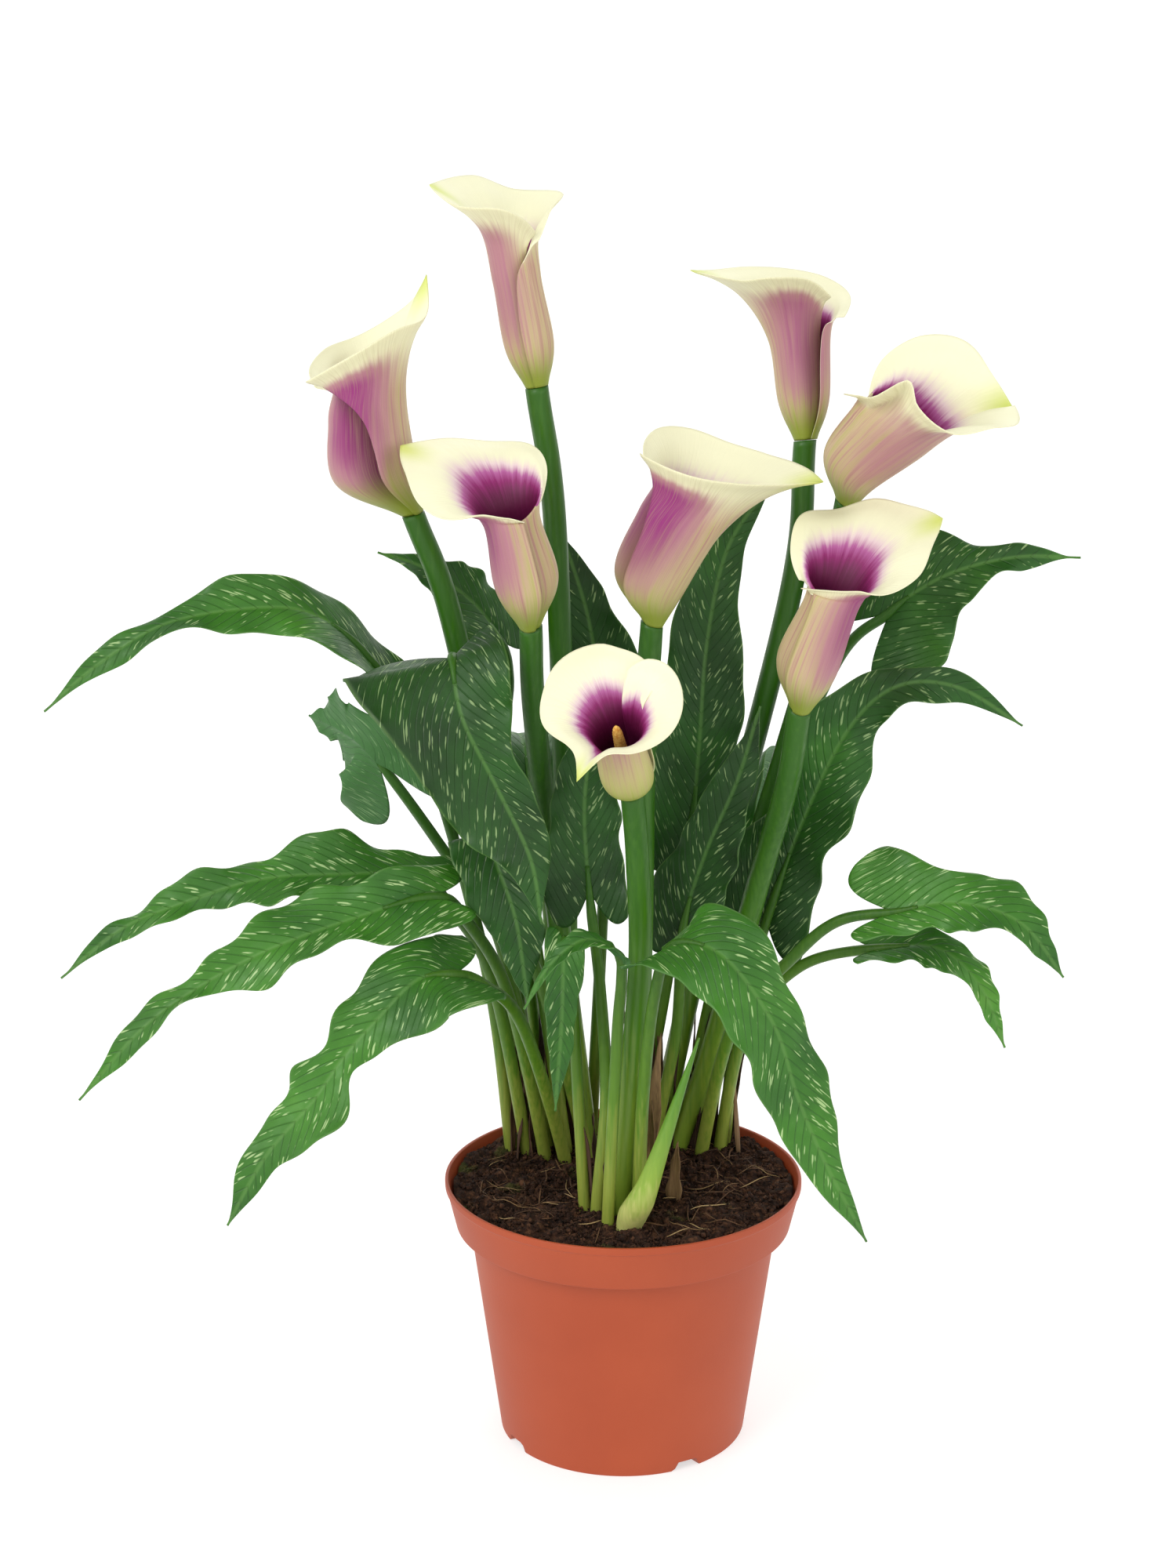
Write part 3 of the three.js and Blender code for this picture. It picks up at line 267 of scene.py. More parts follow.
def noise(tree, place, scale, detail, roughness=0.5):
    """A noise texture from 0 to 1 whose clouds lie about scale to the metre."""
    given = {"Vector": place, "Scale": scale, "Detail": detail, "Roughness": roughness}
    return node(tree, "TexNoise", given).outputs["Fac"]


def ramp(tree, fac, *stops):
    """A colour ramp through (place, colour) stops: the two ends first, then those between them."""
    made = node(tree, "ValToRGB", {"Fac": fac})
    for number, (place, colour) in enumerate(stops):
        ends = made.color_ramp.elements
        stop = ends[number] if number < 2 else ends.new(place)
        stop.position, stop.color = place, colour
    return made.outputs["Color"]


def emboss(tree, shader, height, strength, depth):
    """A relief on the shader's normal: its height goes from 0 to 1, its depth is in metres."""
    bump = node(tree, "Bump", {"Height": height, "Strength": strength, "Distance": depth})
    tree.links.new(bump.outputs["Normal"], shader.inputs["Normal"])


plastic, tree, shader = finish_material("terracotta_plastic", Roughness=0.55)
place = node(tree, "TexCoord").outputs["Object"]
terracotta = ramp(tree, noise(tree, place, 14, 3), (0.3, srgb(160, 62, 22)), (0.7, srgb(169, 69, 28)))
tree.links.new(terracotta, shader.inputs["Base Color"])
emboss(tree, shader, noise(tree, place, 900, 2), 0.12, 0.0004)
pot_faces = grid_faces(len(pot_profile), POT_SIDES, closed=True)
pot = make_mesh("grower_pot", [(pot_points, pot_faces, {})], plastic)
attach(pot, "root")
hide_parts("pot")


# Soil: dark moist peat that fills the pot to just under its lip and is heaped behind the middle. Its top is
# crumbly, with a little moss, and loose crumbs and clods lie on it.
SOIL_RADIUS = 81
SOIL_EDGE_HEIGHT = 123.5
SOIL_HEAP = 4
SOIL_HEAP_PLACE = (10, 30)
SOIL_HEAP_SPREAD = 48
SOIL_LUMP = 1.3
SOIL_ROWS = 130
SOIL_SIDES = 340
SOIL_RIM_HEIGHT = 112
SOIL_STEP = 108
SOIL_FLOOR = 3
SOIL_FLOOR_RADIUS = 57
COLLAR_CLEARANCE = 2
BODY_CLEARANCE = 2.2
CRUMBLE_HEIGHTS = (1.5, 1.1, 0.7)
CRUMBLE_WIDTHS = (5.5, 2.3, 1.1)
LATTICE = 256
CLODS = 1100
CRUMBS = 3600
SEED = 7


def soil_height(x, y):
    """The soil's level: a heap that dies out from its middle, and low lumps from products of sines."""
    away = np.hypot(x - SOIL_HEAP_PLACE[0], y - SOIL_HEAP_PLACE[1]) / SOIL_HEAP_SPREAD
    lumps = np.sin(x * 0.21 + 1) * np.sin(y * 0.17) + 0.5 * np.sin(x * 0.37 - y * 0.31)
    return SOIL_EDGE_HEIGHT + SOIL_HEAP * np.exp(-(away**2)) + SOIL_LUMP * lumps


draws = np.random.default_rng(SEED)


def value_noise(x, y, cell):
    """Smooth noise from -1 to 1: random values on a square lattice, blended with 3t^2 - 2t^3 between."""
    lattice = draws.uniform(-1, 1, (LATTICE, LATTICE))
    i, j = np.floor(x / cell).astype(int), np.floor(y / cell).astype(int)
    s, t = smooth(x / cell - i, 0, 1), smooth(y / cell - j, 0, 1)
    here, there = i % LATTICE, (i + 1) % LATTICE
    near, far = j % LATTICE, (j + 1) % LATTICE
    low = lattice[here, near] * (1 - s) + lattice[there, near] * s
    high = lattice[here, far] * (1 - s) + lattice[there, far] * s
    return low * (1 - t) + high * t


share = np.linspace(0, 1, SOIL_ROWS)[:, None]
around = np.linspace(0, 2 * np.pi, SOIL_SIDES, endpoint=False)[None]
soil_x, soil_y = SOIL_RADIUS * share * np.cos(around), SOIL_RADIUS * share * np.sin(around)
soil_top = soil_height(soil_x, soil_y)
for height, width in zip(CRUMBLE_HEIGHTS, CRUMBLE_WIDTHS):
    soil_top = soil_top + height * value_noise(soil_x, soil_y, width)
soil_side = np.array([
    (SOIL_RADIUS, SOIL_RIM_HEIGHT),
    (COLLAR_FOOT_RADIUS - COLLAR_CLEARANCE, SOIL_STEP),
    (BODY_TOP_RADIUS - BODY_CLEARANCE, SOIL_STEP),
    (SOIL_FLOOR_RADIUS, SOIL_FLOOR),
    (0, SOIL_FLOOR),
])
side_points = np.stack([soil_side[:, :1] * np.cos(around), soil_side[:, :1] * np.sin(around),
                        soil_side[:, 1:] + 0 * around], -1)
soil_points = np.concatenate([np.stack([soil_x, soil_y, soil_top], -1), side_points])


def blended(tree, fac, low, high):
    """The colour between low and high by fac."""
    return node(tree, "Mix", {0: fac, 6: low, 7: high}, data_type="RGBA").outputs[2]


peat, tree, shader = finish_material("moist_peat", Roughness=0.95, Specular_IOR_Level=0.25)
place = node(tree, "TexCoord").outputs["Object"]
earth = ramp(tree, noise(tree, place, 260, 6, 0.7), (0.36, srgb(26, 16, 12)), (0.68, srgb(104, 70, 48)),
             (0.52, srgb(58, 36, 25)))
mossy = node(tree, "MapRange", {0: noise(tree, place, 38, 4), 1: 0.6, 2: 0.68, 3: 0.0, 4: 0.5}).outputs[0]
tree.links.new(blended(tree, mossy, earth, srgb(78, 88, 34)), shader.inputs["Base Color"])
emboss(tree, shader, noise(tree, place, 700, 4), 0.7, 0.001)
soil_faces = grid_faces(len(soil_points), SOIL_SIDES, closed=True)[:, ::-1]
soil = make_mesh("peat", [(soil_points, soil_faces, {})], peat)
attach(soil, "root")
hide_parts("soil")


def turned_copies(shape, faces, places, turns, sizes):
    """Copies of a small shape: each point times its copy's sizes, turned by three angles, at its place."""
    cos, sin = np.cos(turns), np.sin(turns)
    zero, one = np.zeros(len(turns)), np.ones(len(turns))
    about_x = np.array([[one, zero, zero], [zero, cos[:, 0], -sin[:, 0]], [zero, sin[:, 0], cos[:, 0]]])
    about_y = np.array([[cos[:, 1], zero, sin[:, 1]], [zero, one, zero], [-sin[:, 1], zero, cos[:, 1]]])
    about_z = np.array([[cos[:, 2], -sin[:, 2], zero], [sin[:, 2], cos[:, 2], zero], [zero, zero, one]])
    turned = np.einsum("ijn,jkn,kln->nil", about_z, about_y, about_x)
    points = np.einsum("nil,npl->npi", turned, shape[None] * sizes[:, None]) + places[:, None]
    copies = np.arange(len(places))[:, None, None] * shape.shape[-2]
    return points.reshape(-1, 3), (faces[None] + copies).reshape(-1, faces.shape[-1])


def strewn(count, spread=0.97):
    """Places drawn evenly over the soil's top."""
    away = SOIL_RADIUS * spread * np.sqrt(draws.uniform(0, 1, count))
    angle = draws.uniform(0, 2 * np.pi, count)
    x, y = away * np.cos(angle), away * np.sin(angle)
    return np.stack([x, y, soil_height(x, y)], -1)


crumb_shape = np.array([[1, 0, 0], [0, 1, 0], [-1, 0, 0], [0, -1, 0], [0, 0, 1], [0, 0, -1.0]])
crumb_faces = np.array([
    [0, 1, 4], [1, 2, 4], [2, 3, 4], [3, 0, 4],
    [1, 0, 5], [2, 1, 5], [3, 2, 5], [0, 3, 5],
])
loose_blocks = []
for count, lift, least, most in ((CLODS, 0.6, 0.9, 2.4), (CRUMBS, 1.2, 0.35, 1.1)):
    places = strewn(count) + (0, 0, lift)
    turns = draws.uniform(0, 6.3, (count, 3))
    sizes = draws.uniform(least, most, (count, 3))
    loose_blocks.append((*turned_copies(crumb_shape, crumb_faces, places, turns, sizes), {}))
loose = make_mesh("peat_crumbs", loose_blocks, peat)
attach(loose, "root")


# Straws: dry grass and bark fibres that lie loose on the peat, a few of them pale. Each is a thin, slightly
# bowed rod with four sides that narrows to both ends.
STRAWS = 190
STRAW_POINTS = 7
STRAW_SPREAD = 0.86
STRAW_LIFT = 1.3
STRAW_FLATNESS = 0.6

straw_t = np.linspace(-0.5, 0.5, STRAW_POINTS)
straw_length = draws.uniform(6, 22, STRAWS)
straw_heading = draws.uniform(0, 2 * np.pi, STRAWS)
straw_bow = draws.uniform(-0.35, 0.35, STRAWS)
straw_middle = strewn(STRAWS, STRAW_SPREAD)
run = straw_t[None] * straw_length[:, None]
bow = straw_bow[:, None] * run * straw_t[None]
straw_x = straw_middle[:, :1] + run * np.cos(straw_heading)[:, None] - bow * np.sin(straw_heading)[:, None]
straw_y = straw_middle[:, 1:2] + run * np.sin(straw_heading)[:, None] + bow * np.cos(straw_heading)[:, None]
near = np.minimum(1, (SOIL_RADIUS - 1) / np.hypot(straw_x, straw_y))
straw_x, straw_y = straw_x * near, straw_y * near
straw_z = soil_height(straw_x, straw_y) + STRAW_LIFT + draws.uniform(0, 0.9, (STRAWS, 1))
straw_line = np.stack([straw_x, straw_y, straw_z], -1)
half_width = draws.uniform(0.18, 0.5, (STRAWS, 1, 1)) * (1 - 0.8 * np.abs(2 * straw_t[None, :, None]) ** 3)
sideways = np.stack([-np.sin(straw_heading), np.cos(straw_heading), 0 * straw_heading], -1)
beside = sideways[:, None] * half_width
above = np.array([0, 0, STRAW_FLATNESS]) * half_width
straw_ring = np.stack([straw_line + beside, straw_line + above, straw_line - beside, straw_line - above], 2)
straw_ends = np.array([[3, 2, 1, 0], [0, 1, 2, 3]]) + [[0], [4 * (STRAW_POINTS - 1)]]
straw_faces = np.concatenate([grid_faces(STRAW_POINTS, 4, closed=True), straw_ends])
copies = np.arange(STRAWS)[:, None, None] * (4 * STRAW_POINTS)
straw_all = (straw_faces[None] + copies).reshape(-1, 4)
straw_shade = np.repeat(draws.uniform(0, 1, STRAWS), 4 * STRAW_POINTS)


def read(tree, name):
    """The number that the mesh keeps under that name."""
    return node(tree, "Attribute", attribute_name=name).outputs["Fac"]


dry, tree, shader = finish_material("dry_straw", Roughness=0.8)
straw_colour = ramp(tree, read(tree, "shade"), (0.0, srgb(62, 40, 24)), (1.0, srgb(190, 160, 110)),
                    (0.75, srgb(112, 78, 48)))
tree.links.new(straw_colour, shader.inputs["Base Color"])
straws = make_mesh("straws", [(straw_ring, straw_all, {"shade": straw_shade})], dry)
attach(straws, "root")


# Tubers: three flattened brown corms with flat crowns, buried in the peat. Every stem grows from one of them.
# Each is a ball with its top cut level, a little lumpy round its middle, in a dry ringed skin.
TUBERS = {"tuber_left": (-28, 31), "tuber_front": (0, -38), "tuber_right": (29, 31)}
TUBER_RADIUS = 24
TUBER_THICKNESS = 26
TUBER_CROWN = 0.55
TUBER_LUMP = 1.2
TUBER_TOP = 96.5
TUBER_RINGS = 28
TUBER_SIDES = 48

skin, tree, shader = finish_material("corm_skin", Roughness=0.85)
place = node(tree, "TexCoord").outputs["Object"]
given = {"Vector": place, "Scale": 90, "Distortion": 3, "Detail": 2}
rings = node(tree, "TexWave", given, bands_direction="Z")
brown = ramp(tree, rings.outputs["Fac"], (0.0, srgb(84, 58, 36)), (1.0, srgb(138, 104, 68)))
tree.links.new(brown, shader.inputs["Base Color"])

for tuber_name, (tuber_x, tuber_y) in TUBERS.items():
    polar = np.linspace(0, np.pi, TUBER_RINGS)[:, None]
    around = np.linspace(0, 2 * np.pi, TUBER_SIDES, endpoint=False)[None]
    level = np.cos(polar) + 0 * around
    lump = 1 + TUBER_LUMP / TUBER_RADIUS * np.sin(3 * around + tuber_x) * (1 - level**2)
    wide = TUBER_RADIUS * np.sin(polar) * lump
    drop = (TUBER_CROWN - np.minimum(TUBER_CROWN, level)) * TUBER_THICKNESS / (1 + TUBER_CROWN)
    across_x, across_y = wide * np.cos(around), wide * np.sin(around)
    tuber_points = np.stack([tuber_x + across_x, tuber_y + across_y, TUBER_TOP - drop], -1)
    tuber_faces = grid_faces(TUBER_RINGS, TUBER_SIDES, closed=True)[:, ::-1]
    tuber = make_mesh("corm_" + tuber_name.split("_")[1], [(tuber_points, tuber_faces, {})], skin)
    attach(tuber, "root")
    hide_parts(tuber_name)


# Leaves: each is one grown piece, a petiole that runs on as the midrib under an arrow-shaped blade. The blade
# is a thin waxy sheet with waved edges, sunken veins, and pale see-through flecks that lie along the veins.
STEM_FOOT = 97
SOIL_LINE = 125
GATHER = 0.9
BLADE_THICKNESS = 0.8
BLADE_EDGE = 0.35
BLADE_ROWS = 104
BLADE_COLUMNS = 41
MIDRIB_SAMPLES = 400
LOBE_REACH = 0.42
LOBE_BEND = 2.2
COLUMN_POWER = 1.25
NECK_NARROW = 0.22
NECK_SPAN = 0.18
WAIST_SPAN = 0.1
WAVE_END = 0.3
WAVE_POWER = 1.6
WAVE_SHIFT = 2.5
TIP_SHARPNESS = 0.5
JAG = 0.4
JAG_COUNT = 2.7
FRILL = 1.3
FRILL_COUNT = 7
FRILL_FULL_WIDTH = 12
TIP_HALF_WIDTH = 0.5
VEIN_SLOPE = 1.3
VEIN_BEND = 0.9
GROOVE = 0.35
KEEL = 1.5
KEEL_WIDTH = 1.7
PETIOLE_FOOT = 3.8
PETIOLE_NECK = 2.3
PETIOLE_THINNING = 0.7
PETIOLE_END = (0.86, 0.45)
PETIOLE_SIDES = 14
PETIOLE_ROWS = 70
MIDRIB_END = 0.13
# What most leaves share: the petiole's radius at its foot, how the blade's edge swings in and out, as
# (depth, count, shift between its two sides), and the flap that widens each side at the neck
USUAL_LEAF = dict(petiole=PETIOLE_FOOT, lobes=(0.1, 2, 0.35), flap=(0, 0))

# Each leaf: the tuber it grows from, its place in the soil, its petiole's route, its midrib from the neck
# to the tip, the way its upper side looks, and the half widths of its two sides. Its form is given by the
# length of the lobes at its neck, the fold up from the midrib in degrees at neck and tip, the wave across
# it as (height, count, phase), the waist as (place, depth), and the power of its taper to the tip. Its
# tint goes from 0, the darkest green, to 1, the palest.
LEAVES = {
    "leaf_left_long": dict(
        tuber="tuber_left", place=(-55, 40), route=[(-66, 34, 220), (-94, 20, 335)],
        midrib=[
            (-120, 12, 380), (-141, 2, 400), (-165, -6, 405), (-205, -16, 400), (-235, -22, 383),
            (-261, -24, 361),
        ],
        faces=(-0.2, -0.8, 0.6), half=(19, 19), lobe=30, fold=(10, 10), wave=(3, 2.2, 0),
        waist=(0.58, 0.45), taper=0.6, flap=(0.35, 0), tint=0.42,
    ),
    "leaf_left_big": dict(
        tuber="tuber_left", place=(-28, 34), route=[(-55, 26, 315), (-74, 2, 368)],
        midrib=[(-77, -24, 386), (-72, -41, 363), (-57, -46, 333), (-42, -50, 301), (-37, -52, 271)],
        faces=(-0.1, -1, 0.45), half=(26, 42), lobe=14, fold=(8, 8), wave=(5, 1.7, 0.4),
        waist=(0.42, 0.15), taper=0.6, lobes=(0.1, 1.6, 0.4), flap=(0, 0.4), tint=0.15,
    ),
    "leaf_left_inner": dict(
        tuber="tuber_left", place=(-17, 24), route=[(-36, 0, 215), (-52, -6, 262)],
        midrib=[(-62, -14, 300), (-58, -24, 290), (-49, -32, 265), (-44, -36, 228)],
        faces=(-0.1, -1, 0.4), half=(20, 22), lobe=14, fold=(8, 8), wave=(3, 1.5, 0.4),
        waist=(0.5, 0.1), taper=0.5, tint=0.2,
    ),
    "leaf_left_under": dict(
        tuber="tuber_left", place=(-37, 38), route=[(-60, 22, 241), (-86, 12, 288)],
        midrib=[(-113, -6, 334), (-128, 0, 346), (-146, 14, 350)], faces=(-0.5, 1, 0.6),
        half=(32, 30), lobe=30, fold=(-6, 6), wave=(3, 1.5, 0), waist=(0.5, 0.1), taper=0.6,
        lobes=(0.25, 2.2, 0.2), tint=0.3,
    ),
    "leaf_left_low_back": dict(
        tuber="tuber_left", place=(-47, 34), route=[(-62, 10, 222), (-80, -4, 262)],
        midrib=[
            (-95, -14, 281), (-127, -24, 285), (-166, -30, 284), (-205, -37, 273),
            (-229, -42, 263), (-255, -46, 242),
        ],
        faces=(-0.1, -0.8, 0.7), half=(17, 19), lobe=18, fold=(8, 8), wave=(4, 3.2, 0),
        waist=(0.55, 0.25), taper=0.55, lobes=(0.25, 3, 0.5), tint=0.5,
    ),
    "leaf_left_low_mid": dict(
        tuber="tuber_left", place=(-38, 28), route=[(-54, 0, 218), (-72, -22, 262)],
        midrib=[
            (-86, -38, 279), (-122, -50, 272), (-160, -60, 260), (-191, -66, 244),
            (-215, -73, 227), (-243, -79, 196),
        ],
        faces=(-0.2, -0.9, 0.7), half=(18, 20), lobe=18, fold=(8, 10), wave=(4, 2.6, 0.5),
        waist=(0.62, 0.45), taper=0.5, lobes=(0.22, 2.6, 0.4), tint=0.58,
    ),
    "leaf_left_low_front": dict(
        tuber="tuber_left", place=(-28, 22), route=[(-47, -18, 210), (-64, -46, 240)],
        midrib=[
            (-76, -62, 250), (-92, -70, 250), (-110, -80, 234), (-124, -86, 219), (-137, -92, 201),
            (-158, -98, 177), (-175, -104, 147),
        ],
        faces=(-0.3, -1, 0.5), half=(25, 25), lobe=20, fold=(8, 8), wave=(3.5, 2, 0),
        waist=(0.42, 0.6), taper=0.45, lobes=(0.2, 2.2, 0.3), tint=0.55,
    ),
    "leaf_left_back_small": dict(
        tuber="tuber_left", place=(-38, 57), route=[(-56, 56, 307), (-55, 50, 360)],
        midrib=[(-59, 42, 380), (-71, 36, 399), (-93, 31, 416), (-114, 28, 424)],
        faces=(0.2, -0.8, 0.7), half=(20, 20), lobe=14, fold=(5, 5), wave=(2, 1.5, 0),
        waist=(0.6, 0.2), taper=0.7, tint=0.3,
    ),
    "leaf_centre_back_left": dict(
        tuber="tuber_left", place=(-16, 56), route=[(-10, 58, 249)],
        midrib=[(-8, 56, 316), (-12, 55, 353), (-18, 55, 390), (-30, 56, 428)],
        faces=(0.1, -1, 0.2), half=(26, 26), lobe=18, fold=(8, 8), wave=(3, 1.5, 0),
        waist=(0.6, 0.1), taper=0.5, tint=0.12,
    ),
    "leaf_centre_front": dict(
        tuber="tuber_front", place=(-12, -37), route=[(-8, -36, 181), (-11, -24, 232)],
        midrib=[(-16, -16, 275), (-18, -12, 320), (-10, -10, 368)], faces=(0, -1, 0.2),
        half=(22, 20), lobe=16, fold=(8, 8), wave=(3, 1.5, 0), waist=(0.6, 0.1), taper=0.5,
        tint=0.15,
    ),
    "leaf_front_right_big": dict(
        tuber="tuber_front", place=(7, -41), route=[(9, -46, 187), (14, -58, 240)],
        midrib=[
            (22, -70, 267), (43, -84, 267), (65, -96, 240), (76, -102, 208), (89, -107, 178),
            (107, -111, 144),
        ],
        faces=(0.3, -1, 0.5), half=(21, 26), lobe=17, fold=(6, 6), wave=(2.5, 2, 0),
        waist=(0.42, 0.12), taper=0.45, lobes=(0.1, 2.2, 0.3), tint=0.5,
    ),
    "leaf_front_small_left": dict(
        tuber="tuber_front", place=(-7, -50), route=[(-3, -50, 215), (-1, -54, 245)],
        midrib=[(-2, -59, 258), (-10, -66, 267), (-20, -72, 269), (-33, -77, 259), (-44, -79, 240)],
        faces=(0, -0.6, 1), half=(7, 7), lobe=5, fold=(10, 10), wave=(1, 2, 0), waist=(0.5, 0.1),
        taper=0.6, petiole=3.2, tint=0.55,
    ),
    "leaf_front_low_narrow": dict(
        tuber="tuber_front", place=(-18, -30), route=[(-22, -30, 200), (-24, -33, 243)],
        midrib=[(-27, -42, 259), (-28, -50, 226), (-31, -52, 181)], faces=(0, -1, 0.3),
        half=(10, 10), lobe=6, fold=(6, 6), wave=(1.5, 1.5, 0), waist=(0.5, 0.1), taper=0.55,
        petiole=3.2, tint=0.4,
    ),
    "leaf_right_low_upper": dict(
        tuber="tuber_right", place=(38, 32), route=[(52, 10, 200), (78, -8, 240), (98, -17, 261)],
        midrib=[(123, -24, 268), (151, -29, 274), (179, -36, 267), (199, -42, 243)],
        faces=(0.1, -0.9, 0.7), half=(22, 16), lobe=20, fold=(6, 6), wave=(2, 1.5, 0),
        waist=(0.5, 0), taper=0.5, lobes=(0.16, 2.2, 0.4), flap=(0.5, 0), tint=0.55,
    ),
    "leaf_right_low_lower": dict(
        tuber="tuber_right", place=(47, 36), route=[(58, 28, 190), (84, 16, 228)],
        midrib=[(122, 2, 242), (147, -6, 244), (165, -16, 229), (176, -26, 203)],
        faces=(0.2, -0.8, 0.8), half=(13, 13), lobe=14, fold=(6, 6), wave=(2, 1.5, 0),
        waist=(0.5, 0.1), taper=0.5, lobes=(0.18, 2.2, 0.4), tint=0.6,
    ),
    "leaf_right_upper": dict(
        tuber="tuber_right", place=(42, 54), route=[(60, 58, 251), (98, 54, 362)],
        midrib=[(124, 48, 392), (140, 46, 405), (158, 44, 414), (184, 42, 420), (211, 40, 420)],
        faces=(0, -1, 0.5), half=(37, 37), lobe=26, fold=(8, 4), wave=(4, 1.6, 0),
        waist=(0.6, 0.25), taper=1.25, lobes=(0.2, 1.3, 0.1), tint=0.32,
    ),
    "leaf_right_back_big": dict(
        tuber="tuber_right", place=(50, 45), route=[(54, 42, 179)],
        midrib=[
            (68, 32, 245), (84, 20, 299), (103, 10, 345), (124, 4, 367), (151, 0, 368),
            (181, -5, 351),
        ],
        faces=(0.3, -0.9, 0.5), half=(26, 24), lobe=14, fold=(8, 8), wave=(4, 2.6, 0),
        waist=(0.7, 0.2), taper=0.5, lobes=(0.2, 2.4, 0.3), tint=0.22,
    ),
    "leaf_centre_back_tall": dict(
        tuber="tuber_right", place=(6, 52), route=[(18, 48, 190)],
        midrib=[(31, 38, 283), (35, 32, 332), (38, 28, 382), (47, 26, 427), (67, 24, 458)],
        faces=(0.1, -1, 0.2), half=(24, 22), lobe=16, fold=(8, 8), wave=(2.5, 1.8, 0),
        waist=(0.6, 0), taper=0.4, tint=0.22,
    ),
    "leaf_centre_dark": dict(
        tuber="tuber_right", place=(14, 33), route=[(25, 26, 189)],
        midrib=[(28, 16, 246), (38, 8, 286), (52, 4, 322), (62, 2, 358)], faces=(-0.3, -1, 0.4),
        half=(20, 20), lobe=16, fold=(6, 6), wave=(2.5, 1.8, 0), waist=(0.6, 0.1), taper=0.5,
        tint=0.12,
    ),
    "leaf_back_left": dict(
        tuber="tuber_left", place=(-28, 62), route=[(-38, 76, 240)],
        midrib=[(-46, 92, 296), (-52, 116, 314), (-56, 146, 300), (-58, 172, 256)],
        faces=(0, 0.8, 0.7), half=(26, 26), lobe=22, fold=(8, 8), wave=(4, 1.8, 0),
        waist=(0.6, 0.2), taper=0.55, tint=0.3,
    ),
    "leaf_back_right": dict(
        tuber="tuber_right", place=(24, 61), route=[(36, 78, 230)],
        midrib=[(44, 92, 282), (56, 118, 298), (66, 148, 284), (72, 176, 240)],
        faces=(0, 0.8, 0.7), half=(26, 26), lobe=22, fold=(8, 8), wave=(4, 1.8, 0.3),
        waist=(0.6, 0.2), taper=0.55, tint=0.3,
    ),
}


def along_spline(points, t):
    """Places and directions on the smooth curve through the points, for t from 0 to 1.

    Between two points it is the cubic whose slope at each is half the step between its two neighbours.
    """
    padded = np.vstack([2 * points[0] - points[1], points, 2 * points[-1] - points[-2]])
    last = len(points) - 1
    k = np.clip(np.floor(t * last).astype(int), 0, last - 1)
    w = (t * last - k)[..., None]
    before, start, end, after = (padded[k + step] for step in range(4))
    leave, arrive = (end - before) / 2, (after - start) / 2
    place = ((2 * w**3 - 3 * w**2 + 1) * start + (w**3 - 2 * w**2 + w) * leave
             + (3 * w**2 - 2 * w**3) * end + (w**3 - w**2) * arrive)
    slope = (6 * w**2 - 6 * w) * (start - end) + (3 * w**2 - 4 * w + 1) * leave + (3 * w**2 - 2 * w) * arrive
    return place, unit(slope)


def stem_points(tuber, place, points):
    """A stem's points: its foot on the tuber, its place in the soil, then the given ones."""
    heart = np.array(TUBERS[tuber])
    foot = heart + (np.array(place) - heart) * GATHER
    return np.array([(*foot, STEM_FOOT), (*place, SOIL_LINE), *points], float)


def rod(centres, directions, radii, sides):
    """A round rod's points and faces: at each centre a ring of that radius, square to the direction there.

    The radii are one for each ring, or one for each point of it. Both ends run in to their centres.
    """
    across = unit(np.array([1.0, 0, 0]) - directions * directions[:, :1])
    other = np.cross(directions, across)
    angle = np.linspace(0, 2 * np.pi, sides, endpoint=False)[None, :, None]
    ring = np.cos(angle) * across[:, None] + np.sin(angle) * other[:, None]
    size = np.reshape(radii, (len(centres), -1, 1))
    points = centres[:, None] + size * ring
    foot, head = (centres[end] + 0 * points[:1] for end in (0, -1))
    return np.concatenate([foot, points, head]), grid_faces(len(centres) + 2, sides, closed=True)


def both_faces(points, over, under):
    """A sheet as a closed solid: its grid, moved over and under along its normals and joined at the rim."""
    rows, columns = points.shape[:2]
    normal = unit(np.cross(np.gradient(points, axis=1), np.gradient(points, axis=0)))
    top = points + normal * over[..., None]
    bottom = points - normal * under[..., None]
    faces = grid_faces(rows, columns)
    half = rows * columns
    index = np.arange(half).reshape(rows, columns)
    edge = np.concatenate([index[0, :-1], index[:-1, -1], index[-1, :0:-1], index[:0:-1, 0]])
    after = np.roll(edge, -1)
    rim = np.stack([edge, edge + half, after + half, after], -1)
    solid = np.concatenate([top.reshape(-1, 3), bottom.reshape(-1, 3)])
    return solid, np.concatenate([faces, faces[:, ::-1] + half, rim])


def twice(values):
    """Values at a sheet's points, for both of its faces."""
    return np.concatenate([values.reshape(-1), values.reshape(-1)])


